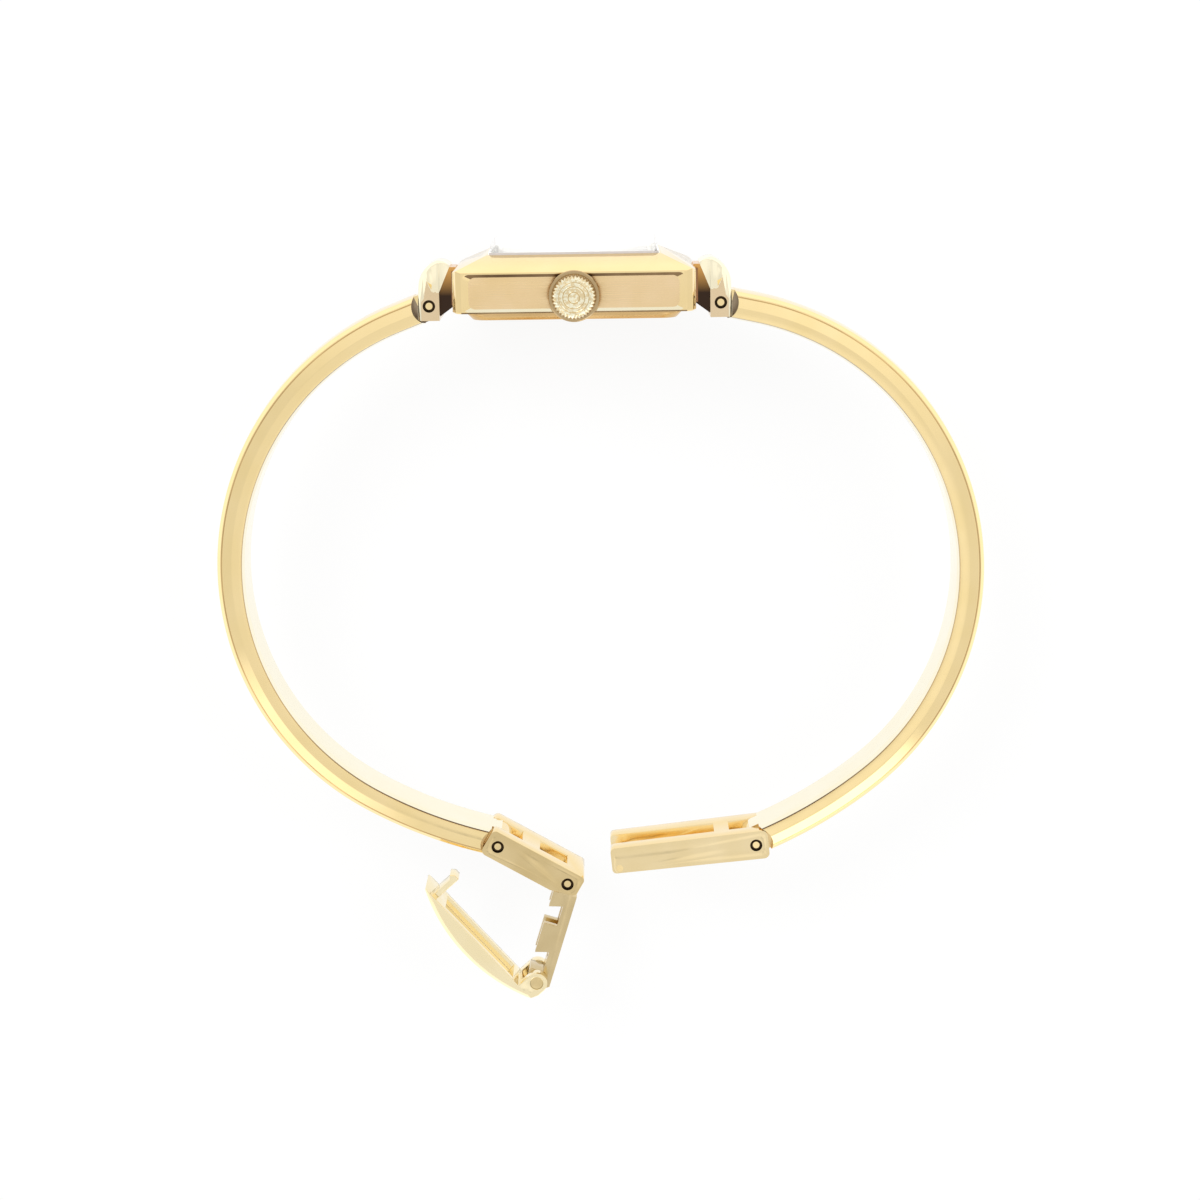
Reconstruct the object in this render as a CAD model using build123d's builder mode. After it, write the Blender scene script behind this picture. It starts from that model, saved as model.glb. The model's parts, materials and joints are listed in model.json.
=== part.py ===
from build123d import *
import os
from math import cos, hypot, radians, sin, tan

# A hand-wound bangle watch, lying on the 9 o'clock side of its case.
# +X points to 12 o'clock, +Y out of the dial, +Z to 3 o'clock, along the crown and every clasp pin.
# The origin is the middle of the case's 9 o'clock side, halfway up its upright wall. Millimetres.

# Driving dimensions: case
case_length = 18.3  # 12 to 6 o'clock
case_width = 15.5  # 9 to 3 o'clock
side_height = 3.05  # upright side wall of the case
bezel_rise = 1.15
bezel_run = 2.55
case_wall = 1.2
corner_front = 0.42  # first facet of each upright corner, along the case
corner_front_depth = 0.3
corner_side = 0.27
corner_side_depth = 0.85
pocket_corner = 1.0
panel_margin = 0.12  # edge left round the recess of the satin side panel
panel_depth = 0.12
panel_frame = 0.22  # the recess's sloped frame along the side
panel_frame_end = 0.45
panel_corner = 0.5
lower_bevel = 0.1
back_bulge = 0.6
back_plate = 0.4
back_margin = 1.05
back_corner = 1.6
back_edge = 0.4
back_lip_depth = 0.35
back_lip_wall = 0.4

# Driving dimensions: crystal, dial and hands
crystal_proud = 0.9
crystal_wall = 0.7
crystal_top = 0.75
crystal_corner = 0.35
crystal_chamfer = 0.1
gasket_wall = 0.16
gasket_proud = 0.16
bezel_land = 0.12  # flat top of the bezel round the gasket
seat_level = 1.55  # ledge under the crystal; levels are above the middle of the case's side
seat_ledge = 0.45
dial_thickness = 0.3
dial_top_level = 1.25
dial_feet_radius = 0.3
dial_feet_length = 0.7
dial_feet_inset = 1.5
track_margin = 0.5  # bare dial between the batons and the crystal's wall
hour_pipe_radius = 0.5
hand_tail_share = 0.22
hand_tip_share = 0.35
marker_length = 0.9
marker_width = 0.22
marker_height = 0.08
hand_wall_gap = 0.32  # from the minute hand's tip to the crystal's wall
hour_hand_share = 0.667  # of the minute hand's length
hand_width = 0.42
hand_collar = 0.15
pipe_wall = 0.12
hour_hand_time = 305  # degrees past 12 o'clock, at ten past ten
minute_hand_time = 60
hand_thickness = 0.1
hand_gap = 0.12
fit_gap = 0.05  # running and seating gap between pieces that touch only lightly
overrun = 1.0  # how far a cutter passes its target

# Driving dimensions: hoods, arms and pins
band_width = 5.5
band_thickness = 2.25
band_inner_bevel = 0.8  # bevel beside the band's inner face
band_inner_rise = 0.2
band_ridge_rise = 0.95  # where the band's side turns to its outer bevel
band_shoulder_rise = 1.85
band_shoulder_run = 0.4
band_top_run = 0.75
band_crown = 0.12
tongue_width = 2.4
tongue_radius = 1.05
scoop_radius = 1.38  # hollow in each arm's shoulder round its pin
pin_radius = 0.27
pin_gap = 0.02
pin_recess = 0.12
pin_mouth_radius = 0.48
pin_mouth_depth = 0.45
hood_pin_reach = 2.03  # from the case's end to the hinge pin
hood_pin_drop = 1.3  # hinge pin below the middle of the case's side
hood_height = 3.4
hood_front = 0.85
hood_waist_back = 0.8
hood_waist_height = 1.04
hood_apex_back = 1.6
hood_apex_height = 3.02
hood_lean = 0.95  # how far each side of the hood leans in at its top
hood_neck_width = 3.4
hood_plate_width = 4.4
hood_plate_thickness = 0.3
hood_corner = 0.35
hood_foot = 1.12  # ears below the pin
hood_shoulder_front = 0.42
hood_shoulder_height = 2.65
hood_crest_back = 0.6
hood_brow_height = 3.32
hood_neck_drop = 0.12
hood_neck_low = 0.03
hood_slot_gap = 0.1
hood_slot_top = 1.3
arm_straight = 2.8
arm_bend_radius = 21.17
arm_bend_angle = 129.55
arm_tail_radius = 36.8
arm_tail_angle = 13.96
arm_tail_straight = 1.47
right_arm_heading = -11.94  # degrees above the outward direction, as the arm lies at rest
left_arm_heading = -21.15
arm_open_heading = 3.1  # where an opening arm meets its hood

# Driving dimensions: clasp
link_height = 2.2
link_end = 1.0  # from a link's arm pin to its end
link_corner = 0.45
link_bevel = 0.35
left_link_pitch = 6.35  # arm pin to blade pin
left_link_nose = 1.05
left_link_heading = -29.9
left_window_start = 1.6
left_window_bridge = 1.6
left_window_length = 2.5
left_end_bridge = 0.75  # underside of the bridge over the blade's hub
right_link_length = 11.6  # arm pin to free end
right_link_heading = 185.3
right_link_root_height = 2.3
right_link_top = 0.92  # wrist side of the right link at its free end
right_link_bottom = 1.14
right_bridge_start = 2.0
right_bridge_length = 1.2
slot_width = 2.5
catch_distance = 11.0  # from the right link's arm pin
catch_drop = 0.74
catch_radius = 0.28
blade_pitch = 8.85  # blade pin to cover pin
blade_heading = -107.3
blade_width = 2.4
blade_back = 1.15
blade_tooth = 0.8
blade_hub_radius = 0.68
blade_start = 1.3
blade_first_notch = 2.65  # where each catch notch starts
blade_second_notch = 6.65
blade_notch_length = 1.45
blade_notch_floor = 0.3
blade_hook = 0.3  # undercut of each notch
blade_groove = 1.0
blade_groove_floor = 0.62
blade_end = 0.72  # from the cover's pin to the blade's end
blade_end_drop = 0.78
cover_pin_radius = 0.5
cover_heading = 131.6
cover_width = 4.4
cover_seat = 1.2  # inner face of the cover, from its pin
cover_length = 11.8
cover_tail = 0.6
cover_bulge = 2.7
cover_brow = 1.32
cover_bulge_place = 5.6
cover_tail_height = 0.6
cover_hollow = 0.6
cover_hollow_margin = 0.65
cover_bevel = 0.3
cover_ear_radius = 0.85
cover_hook_place = 10.6
cover_hook_reach = 2.2
cover_hook_thickness = 0.45
cover_hook_width = 1.9
cover_barb = 0.3

# Driving dimensions: crown and stem
crown_radius = 1.92
crown_ring = 0.45
crown_depth = 2.0
crown_grip_radius = 1.68
crown_dome_rise = 0.4
crown_tooth_count = 36
crown_tooth_depth = 0.12
crown_gap = 0.12
crown_bore = 1.0
crown_bore_depth = 1.0
crown_face_ring = 1.12  # radius of the concentric ring on its face
crown_ring_groove = 0.08
tube_radius = 0.8
tube_bore = 0.34
tube_proud = 0.7
stem_radius = 0.26
stem_drop = 0.25  # stem axis below the middle of the case's side
stem_depth = 3.1  # from the main plate's edge to the stem's inner end

# Driving dimensions: movement
holder_wall = 0.85
holder_end_wall = 0.95
plate_corner = 2.4
plate_thickness = 0.9
plate_rim = 0.55
plate_web_level = 0.45  # motion side of the plate
train_space = 0.6  # between the main plate and the train bridge
bridge_thickness = 0.25
arbor_radius = 0.12
barrel_arbor_radius = 0.3
arbor_gap = 0.03
post_radius = 0.5
bridge_post_shares = [(0.395, 0.307), (-0.404, 0.086), (0.377, -0.307)]  # of the plate's width and length
bridge_margin = 0.6
balance_place_shares = (-0.281, -0.136)
balance_clearance = 2.3
barrel_direction = 105  # from the centre, over the dial, from 3 o'clock towards 12
third_direction = -60
minute_direction = -110
barrel_thickness = 0.3
train_thickness = 0.12
hour_wheel_thickness = 0.14
winding_depth = 2.4  # from the main plate's edge to the winding pinion
winding_length = 0.7
winding_teeth = 14
winding_module = 0.1
winding_gap = 0.08
train_margin = 1.2  # from the barrel's teeth to the plate's 12 o'clock end
barrel_teeth = 72
centre_pinion_teeth = 12
centre_teeth = 60
third_pinion_teeth = 10
third_teeth = 50
cannon_teeth = 12
minute_wheel_teeth = 36
minute_pinion_teeth = 10
hour_wheel_teeth = 40
motion_module_share = 1.2  # of the going train's module
tooth_share = 0.4  # of a tooth's pitch that its tooth fills
tooth_foot_share = 0.6
tooth_tip_share = 0.32
addendum_share = 0.75
dedendum_share = 1.0
half_turn = 180  # degrees

os.makedirs("parts", exist_ok=True)

# Worked-out places
middle = case_width / 2  # the plane of symmetry across the band
side_half = side_height / 2
bezel_top = side_half + bezel_rise
opening_length = case_length - 2 * (bezel_run + bezel_land)
opening_width = case_width - 2 * (bezel_run + bezel_land)
pocket_width = case_width - 2 * case_wall
pocket_length = case_length - 2 * case_wall
crystal_width = opening_width - 2 * gasket_wall
crystal_length = opening_length - 2 * gasket_wall
cannon_radius = hour_pipe_radius - 2 * pipe_wall
dial_bottom = dial_top_level - dial_thickness
track_width = crystal_width - 2 * crystal_wall - track_margin - marker_length
track_length = crystal_length - 2 * crystal_wall - track_margin - marker_length
plate_width = pocket_width - 2 * holder_wall
plate_length = pocket_length - 2 * holder_end_wall
dial_feet = [(0, way * (plate_length / 2 - dial_feet_inset)) for way in (1, -1)]
minute_hand_length = min(crystal_width, crystal_length) / 2 - crystal_wall - hand_wall_gap
hour_hand_length = hour_hand_share * minute_hand_length
hood_pin_x = case_length / 2 + hood_pin_reach


def save(part, name):
    """Label a finished piece and write it."""
    part.part.label = name
    export_step(part.part, f"parts/{name}.step")


def dial_plane(level):
    """A plane over the dial: x to 3 o'clock, y to 12 o'clock, at a level of its own."""
    return Plane(origin=(0, level, middle), x_dir=(0, 0, 1), z_dir=(0, 1, 0))


def stem_plane(place):
    """A plane across the winding stem, at a place along the crown's axis."""
    return Plane(origin=(0, -stem_drop, place))


def side_plane(side, heading, origin):
    """A plane across the band whose x runs outwards at a heading and whose y is the outer side."""
    along = (side * cos(radians(heading)), sin(radians(heading)), 0)
    return Plane(origin=origin, x_dir=along, z_dir=(0, 0, side))


def link_plane(side, heading, origin):
    """A plane across the band whose x runs along a clasp piece and whose y is its wrist side."""
    along = (cos(radians(heading)), sin(radians(heading)), 0)
    return Plane(origin=origin, x_dir=along, z_dir=(0, 0, side))


def pin_through(plane, radius, length, name):
    """A round pin with its middle on a plane."""
    with BuildPart() as pin:
        with BuildSketch(plane):
            Circle(radius)
        extrude(amount=length / 2, both=True)
    save(pin, name)


def both_ears(plane, radius, inner_width, outer_width):
    """Cut two round pockets beside a tongue, one on each side of a plane."""
    for way in (1, -1):
        with BuildSketch(plane.offset(way * inner_width / 2)) as pocket:
            Circle(radius)
        extrude(pocket.sketch, amount=way * (outer_width - inner_width) / 2, mode=Mode.SUBTRACT)


def bore_and_mouths(plane, radius, width):
    """Cut the seat of a pin through a width, with a wider mouth at each end."""
    with BuildSketch(plane) as bore:
        Circle(radius)
    extrude(bore.sketch, amount=width / 2 + overrun, both=True, mode=Mode.SUBTRACT)
    for way in (1, -1):
        with BuildSketch(plane.offset(way * (width / 2 - pin_mouth_depth))) as mouth:
            Circle(pin_mouth_radius)
        extrude(mouth.sketch, amount=way * (pin_mouth_depth + overrun), mode=Mode.SUBTRACT)


# Case body: upright sides, bezel sloped on four sides, faceted corners, open to the back
with BuildPart() as case_body:
    with BuildSketch(dial_plane(-side_half)):
        Rectangle(case_width, case_length)
    extrude(amount=side_height + bezel_rise)
    for out_x, out_z, reach, span in (
        (0, 1, case_width / 2, case_length),
        (1, 0, case_length / 2, case_width),
        (0, -1, case_width / 2, case_length),
        (-1, 0, case_length / 2, case_width),
    ):
        across = Plane(origin=(0, side_half, middle), x_dir=(out_x, 0, out_z), z_dir=(-out_z, 0, out_x))
        with BuildSketch(across):
            with BuildLine():
                Polyline(
                    (reach, 0),
                    (reach - bezel_run, bezel_rise),
                    (reach - bezel_run, bezel_rise + overrun),
                    (reach + overrun, bezel_rise + overrun),
                    (reach + overrun, 0),
                    close=True,
                )
            make_face()
        extrude(amount=span, both=True, mode=Mode.SUBTRACT)
    with BuildSketch(dial_plane(-side_half)):
        with BuildLine():
            half_width, half_length = case_width / 2, case_length / 2
            corner = [
                (half_width, half_length - corner_front - corner_side),
                (half_width - corner_front_depth, half_length - corner_side),
                (half_width - corner_front_depth - corner_side_depth, half_length),
            ]
            ring = corner + [(-x, y) for x, y in reversed(corner)]
            Polyline(*ring, *[(x, -y) for x, y in reversed(ring)], close=True)
        make_face()
    extrude(amount=side_height + bezel_rise, mode=Mode.INTERSECT)
    bottom_face = case_body.faces().sort_by(Axis.Y)[0]
    chamfer(bottom_face.edges(), lower_bevel)
    # Pocket for the movement, the dial's opening and the crystal's seat
    with BuildSketch(dial_plane(-side_half)):
        RectangleRounded(pocket_width, pocket_length, pocket_corner)
    extrude(amount=side_half + dial_top_level + fit_gap, mode=Mode.SUBTRACT)
    with BuildSketch(dial_plane(0)):
        RectangleRounded(opening_width - 2 * seat_ledge, opening_length - 2 * seat_ledge, crystal_corner)
    extrude(amount=bezel_top + overrun, mode=Mode.SUBTRACT)
    with BuildSketch(dial_plane(seat_level)):
        RectangleRounded(opening_width, opening_length, crystal_corner + gasket_wall)
    extrude(amount=bezel_top, mode=Mode.SUBTRACT)
    # Satin panel let into the 3 o'clock side behind a sloped frame
    panel_length = case_length - 2 * (corner_front + corner_side + panel_margin)
    panel_height = side_height - 2 * panel_margin
    with BuildSketch(Plane.XY.offset(case_width)):
        RectangleRounded(panel_length, panel_height, panel_corner)
    with BuildSketch(Plane.XY.offset(case_width - panel_depth)):
        RectangleRounded(
            panel_length - 2 * panel_frame_end, panel_height - 2 * panel_frame, panel_corner
        )
    loft(mode=Mode.SUBTRACT)
    # Bore for the crown's tube
    with BuildSketch(stem_plane(case_width + overrun)):
        Circle(tube_radius)
    extrude(amount=-(case_wall + 2 * overrun), mode=Mode.SUBTRACT)
save(case_body, "case_body")


# Case back: a shallow plate with a snap lip that stands in the case's pocket
with BuildPart() as case_back:
    with BuildSketch(dial_plane(-side_half)):
        RectangleRounded(case_width - 2 * back_margin, case_length - 2 * back_margin, back_corner)
    extrude(amount=-back_bulge)
    chamfer(case_back.faces().sort_by(Axis.Y)[0].edges(), back_edge)
    with BuildSketch(dial_plane(-side_half)):
        RectangleRounded(pocket_width - 2 * fit_gap, pocket_length - 2 * fit_gap, pocket_corner)
    extrude(amount=back_lip_depth)
    with BuildSketch(dial_plane(-side_half - back_bulge + back_plate)):
        RectangleRounded(
            pocket_width - 2 * back_lip_wall, pocket_length - 2 * back_lip_wall, pocket_corner
        )
    extrude(amount=back_bulge + back_lip_depth, mode=Mode.SUBTRACT)
save(case_back, "case_back")

# Crystal: an upright box glass, hollow beneath, and the gasket round it
with BuildPart() as crystal:
    with BuildSketch(dial_plane(seat_level)):
        RectangleRounded(crystal_width, crystal_length, crystal_corner)
    extrude(amount=bezel_top + crystal_proud - seat_level)
    chamfer(crystal.faces().sort_by(Axis.Y)[-1].edges(), crystal_chamfer)
    with BuildSketch(dial_plane(seat_level)):
        Rectangle(crystal_width - 2 * crystal_wall, crystal_length - 2 * crystal_wall)
    extrude(amount=bezel_top + crystal_proud - crystal_top - seat_level, mode=Mode.SUBTRACT)
save(crystal, "crystal")

with BuildPart() as crystal_gasket:
    with BuildSketch(dial_plane(seat_level)):
        RectangleRounded(opening_width, opening_length, crystal_corner + gasket_wall)
        RectangleRounded(crystal_width, crystal_length, crystal_corner, mode=Mode.SUBTRACT)
    extrude(amount=bezel_top + gasket_proud - seat_level)
save(crystal_gasket, "crystal_gasket")

# Dial with its feet, and twelve applied batons on a rectangular track
with BuildPart() as dial:
    with BuildSketch(dial_plane(dial_top_level)):
        RectangleRounded(plate_width, plate_length, plate_corner)
        Circle(hour_pipe_radius + 2 * fit_gap, mode=Mode.SUBTRACT)
    extrude(amount=-dial_thickness)
    with BuildSketch(dial_plane(dial_bottom)):
        with Locations(*dial_feet):
            Circle(dial_feet_radius)
    extrude(amount=-dial_feet_length)
save(dial, "dial")

with BuildPart() as hour_markers:
    with BuildSketch(dial_plane(dial_top_level)):
        for hour in range(12):
            turn = 90 - 30 * hour
            over, up = cos(radians(turn)), sin(radians(turn))
            reach = 1 / max(abs(over) / track_width, abs(up) / track_length) / 2
            with Locations(Location((reach * over, reach * up, 0), turn)):
                Rectangle(marker_length, marker_width)
    extrude(amount=marker_height)
save(hour_markers, "hour_markers")


def hand(level, length, bore, boss, turn, name):
    """A tapered baton hand with a round boss, pointing a turn clockwise from 12 o'clock."""
    with BuildPart() as blade_part:
        with BuildSketch(dial_plane(level)):
            Circle(boss)
            with Locations(Rotation(0, 0, -turn)):
                with BuildLine():
                    Polyline(
                        (-hand_width / 2, -hand_tail_share * length),
                        (hand_width / 2, -hand_tail_share * length),
                        (hand_width / 2, 0),
                        (hand_width * hand_tip_share / 2, length),
                        (-hand_width * hand_tip_share / 2, length),
                        (-hand_width / 2, 0),
                        close=True,
                    )
                make_face()
            Circle(bore, mode=Mode.SUBTRACT)
        extrude(amount=hand_thickness)
    save(blade_part, name)


hour_hand_level = dial_top_level + hand_gap
minute_hand_level = hour_hand_level + hand_thickness + hand_gap
hour_boss = hour_pipe_radius + hand_collar
hand(hour_hand_level, hour_hand_length, hour_pipe_radius, hour_boss, hour_hand_time, "hour_hand")
minute_boss = hour_pipe_radius
hand(minute_hand_level, minute_hand_length, cannon_radius, minute_boss, minute_hand_time, "minute_hand")


def gear_ring(teeth, module, towards, toothed=True):
    """A toothed outline with a tooth, or else a gap, pointing in one direction."""
    pitch = module * teeth / 2
    root, tip = pitch - module * dedendum_share, pitch + module * addendum_share
    step = 360 / teeth
    wide, narrow = tooth_share * step * tooth_foot_share, tooth_share * step * tooth_tip_share
    start = towards if toothed else towards + step / 2
    points = []
    for tooth in range(teeth):
        for radius, turn in ((root, -wide), (tip, -narrow), (tip, narrow), (root, wide)):
            angle = radians(start + tooth * step + turn)
            points.append((radius * cos(angle), radius * sin(angle)))
    with BuildLine() as outline:
        Polyline(*points, close=True)
    make_face(outline.edges())


def side_pair(place, side):
    """A world point on the plane of symmetry, from the outward reach and the height."""
    return (side * place[0], place[1], middle)


# Hoods: two ears that flank the arm's tongue, a leaning dome over them and a neck to the case
def make_hood(side, name):
    frame = side_plane(side, 0, side_pair((hood_pin_x, -hood_pin_drop), side))
    with BuildPart() as hood:
        with BuildSketch(frame):
            with BuildLine():
                Line((hood_front, -hood_foot), (hood_front, hood_waist_height))
                ThreePointArc(
                    (hood_front, hood_waist_height),
                    (hood_shoulder_front, hood_shoulder_height),
                    (-hood_crest_back, hood_height),
                )
                ThreePointArc(
                    (-hood_crest_back, hood_height),
                    (-(hood_crest_back + hood_apex_back) / 2, hood_brow_height),
                    (-hood_apex_back, hood_apex_height),
                )
                Polyline(
                    (-hood_apex_back, hood_apex_height),
                    (-hood_waist_back, hood_waist_height),
                    (-hood_waist_back, -hood_foot),
                    (hood_front, -hood_foot),
                )
            make_face()
        extrude(amount=band_width / 2, both=True)
        fillet(
            hood.edges().filter_by(Axis.Z).sort_by(Axis.Y)[:2],
            hood_corner,
        )
        # The dome's sides lean in above the ears
        for way in (1, -1):
            with BuildSketch(Plane(origin=frame.origin, x_dir=(0, 0, way), z_dir=(-way, 0, 0))):
                with BuildLine():
                    Polyline(
                        (band_width / 2, hood_waist_height),
                        (band_width / 2 - hood_lean, hood_height),
                        (band_width / 2 - hood_lean, hood_height + overrun),
                        (band_width / 2 + overrun, hood_height + overrun),
                        (band_width / 2 + overrun, hood_waist_height),
                        close=True,
                    )
                make_face()
            extrude(amount=hood_height, both=True, mode=Mode.SUBTRACT)
        with BuildSketch(frame):
            with BuildLine():
                Polyline(
                    (-hood_pin_reach, hood_apex_height - hood_neck_drop),
                    (-hood_pin_reach, hood_neck_low),
                    (-hood_waist_back + hood_corner, -hood_foot),
                    (-hood_crest_back, hood_apex_height - hood_neck_drop),
                    close=True,
                )
            make_face()
        extrude(amount=hood_neck_width / 2, both=True)
        plate_middle = (hood_neck_low + hood_apex_height - hood_neck_drop) / 2
        with BuildSketch(frame):
            with Locations((hood_plate_thickness / 2 - hood_pin_reach, plate_middle)):
                Rectangle(hood_plate_thickness, hood_apex_height - hood_neck_drop - hood_neck_low)
        extrude(amount=hood_plate_width / 2, both=True)
        # Slot for the arm's tongue, open below and outwards
        with BuildSketch(frame):
            Circle(tongue_radius + hood_slot_gap)
            with Locations((hood_height / 2, hood_slot_top / 2 - hood_height / 2)):
                Rectangle(hood_height, hood_height + hood_slot_top)
        extrude(amount=slot_width / 2, both=True, mode=Mode.SUBTRACT)
        bore_and_mouths(frame, pin_radius, band_width)
    save(hood, name)
    pin_through(frame, pin_radius, band_width - 2 * pin_recess, name + "_pin")


# Arms: one section swept along a straight root, a long bend, a gentler tail and a short end
def bend_end(centre, radius, angle):
    """Where a clockwise bend has turned by an angle from the arm's root direction."""
    return (centre[0] + radius * sin(radians(angle)), centre[1] + radius * cos(radians(angle)))


arm_total_turn = arm_bend_angle + arm_tail_angle
bend_centre = (arm_straight, -arm_bend_radius)
tail_start = bend_end(bend_centre, arm_bend_radius, arm_bend_angle)
tail_centre = bend_end(tail_start, -arm_tail_radius, arm_bend_angle)
tail_end = bend_end(tail_centre, arm_tail_radius, arm_total_turn)
link_pin = (
    tail_end[0] + arm_tail_straight * cos(radians(arm_total_turn)),
    tail_end[1] - arm_tail_straight * sin(radians(arm_total_turn)),
)


def make_arm(side, heading, name):
    """One half bangle; returns the world place of its link pin."""
    frame = side_plane(side, heading, side_pair((hood_pin_x, -hood_pin_drop), side))
    end_frame = Plane(origin=frame.from_local_coords((*link_pin, 0)), x_dir=frame.x_dir, z_dir=frame.z_dir)
    with BuildPart() as arm:
        with BuildLine(frame) as route:
            Line((0, 0), (arm_straight, 0))
            ThreePointArc(
                (arm_straight, 0), bend_end(bend_centre, arm_bend_radius, arm_bend_angle / 2), tail_start
            )
            ThreePointArc(
                tail_start,
                bend_end(tail_centre, arm_tail_radius, arm_bend_angle + arm_tail_angle / 2),
                tail_end,
            )
            Line(tail_end, link_pin)
        with BuildSketch(Plane(origin=frame.origin, x_dir=-frame.z_dir, z_dir=frame.x_dir)):
            half, thick = band_width / 2, band_thickness / 2
            flank = [
                (half - band_inner_bevel, -thick),
                (half, band_inner_rise - thick),
                (half, band_ridge_rise - thick),
                (half - band_shoulder_run, band_shoulder_rise - thick),
                (half - band_top_run, thick - band_crown),
            ]
            with BuildLine():
                Polyline(*[(-x, y) for x, y in reversed(flank)], *flank)
                ThreePointArc(flank[-1], (0, thick), (-flank[-1][0], flank[-1][1]))
            make_face()
        sweep(path=route.line)
        for place in (frame, end_frame):
            both_ears(place, scoop_radius, tongue_width, band_width + overrun)
            with BuildSketch(place):
                Circle(tongue_radius)
            extrude(amount=tongue_width / 2, both=True)
            with BuildSketch(place):
                Circle(pin_radius + pin_gap)
            extrude(amount=band_width, both=True, mode=Mode.SUBTRACT)
        # The outer corner of the shoulder is trimmed to the hood's face at full opening
        lean = arm_open_heading
        with BuildSketch(frame):
            with BuildLine():
                Polyline(
                    (0, 0),
                    ((hood_front + fit_gap) / cos(radians(lean)), 0),
                    (
                        (hood_front + fit_gap) / cos(radians(lean)) + band_thickness * tan(radians(lean)),
                        band_thickness,
                    ),
                    (0, band_thickness),
                    close=True,
                )
            make_face()
        extrude(amount=band_width, both=True, mode=Mode.SUBTRACT)
        with BuildSketch(frame):
            Circle(tongue_radius)
            with Locations((scoop_radius / 2, 0)):
                Rectangle(scoop_radius, 2 * tongue_radius)
            Circle(pin_radius + pin_gap, mode=Mode.SUBTRACT)
        extrude(amount=tongue_width / 2, both=True)
    save(arm, name)
    return end_frame.origin


make_hood(1, "hood_right")
make_hood(-1, "hood_left")
right_link_pin = make_arm(1, right_arm_heading, "arm_right")
left_link_pin = make_arm(-1, left_arm_heading, "arm_left")


# Links: two side bars joined by bridges, with windows between them
def window(plane, start, end, low, high):
    """Cut a window of the tongue's slot width through a link."""
    with BuildSketch(plane) as gap:
        with Locations(((start + end) / 2, (low + high) / 2)):
            Rectangle(end - start, high - low)
    extrude(gap.sketch, amount=slot_width / 2, both=True, mode=Mode.SUBTRACT)


left_plane = link_plane(1, left_link_heading, left_link_pin)
blade_pin_place = left_plane.from_local_coords((left_link_pitch, 0, 0))
with BuildPart() as left_link:
    with BuildSketch(left_plane):
        with BuildLine():
            Polyline(
                (-link_end, link_height / 2),
                (-link_end, -link_height / 2),
                (left_link_pitch - link_end, -link_height / 2),
                (left_link_pitch + left_link_nose, -link_height / 4),
                (left_link_pitch + left_link_nose, link_height / 2),
                close=True,
            )
        make_face()
    extrude(amount=band_width / 2, both=True)
    upright = left_link.edges().filter_by(Axis.Z)
    by_reach = upright.sort_by(lambda edge: (edge.center() - left_plane.origin).dot(left_plane.x_dir))
    fillet(by_reach[:2], link_corner)
    nose = left_link.edges().filter_by(Axis.Z).group_by(
        lambda edge: round((edge.center() - left_plane.origin).dot(left_plane.x_dir), 2)
    )[-1]
    fillet(nose, link_bevel)
    window(left_plane, -link_height, left_window_start, -link_height, link_height)
    bridge_end = left_window_start + left_window_bridge
    window(left_plane, bridge_end, bridge_end + left_window_length, -link_height, link_height)
    window(left_plane, bridge_end, left_link_pitch + link_height, -link_height, left_end_bridge)
    for place in (left_plane.origin, blade_pin_place):
        across = Plane(origin=place, x_dir=left_plane.x_dir, z_dir=left_plane.z_dir)
        bore_and_mouths(across, pin_radius, band_width)
save(left_link, "left_link")
pin_through(left_plane, pin_radius, band_width - 2 * pin_recess, "left_link_pin")
blade_plane = link_plane(1, blade_heading, blade_pin_place)
pin_through(blade_plane, pin_radius, band_width - 2 * pin_recess, "blade_pin")

# Right link: a fork that is open at its free end, where the catch pin crosses it
right_plane = link_plane(-1, right_link_heading, right_link_pin)
catch_plane = Plane(
    origin=right_plane.from_local_coords((catch_distance, -catch_drop, 0)),
    x_dir=right_plane.x_dir,
    z_dir=right_plane.z_dir,
)
with BuildPart() as right_link:
    with BuildSketch(right_plane):
        with BuildLine():
            Polyline(
                (-link_end, right_link_root_height / 2),
                (-link_end, -right_link_root_height / 2),
                (right_link_length, -right_link_bottom),
                (right_link_length, right_link_top),
                close=True,
            )
        make_face()
    extrude(amount=band_width / 2, both=True)
    upright = right_link.edges().filter_by(Axis.Z)
    by_reach = upright.sort_by(lambda edge: (edge.center() - right_plane.origin).dot(right_plane.x_dir))
    fillet(by_reach[:2], link_corner)
    fillet(by_reach[2:], link_bevel)
    window(right_plane, -link_height, right_bridge_start, -link_height, link_height)
    fork = right_bridge_start + right_bridge_length
    window(right_plane, fork, right_link_length + overrun, -link_height, link_height)
    bore_and_mouths(right_plane, pin_radius, band_width)
    with BuildSketch(catch_plane):
        Circle(catch_radius)
    extrude(amount=band_width, both=True, mode=Mode.SUBTRACT)
save(right_link, "right_link")
pin_through(right_plane, pin_radius, band_width - 2 * pin_recess, "right_link_pin")
pin_through(catch_plane, catch_radius, band_width, "catch_pin")

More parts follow.
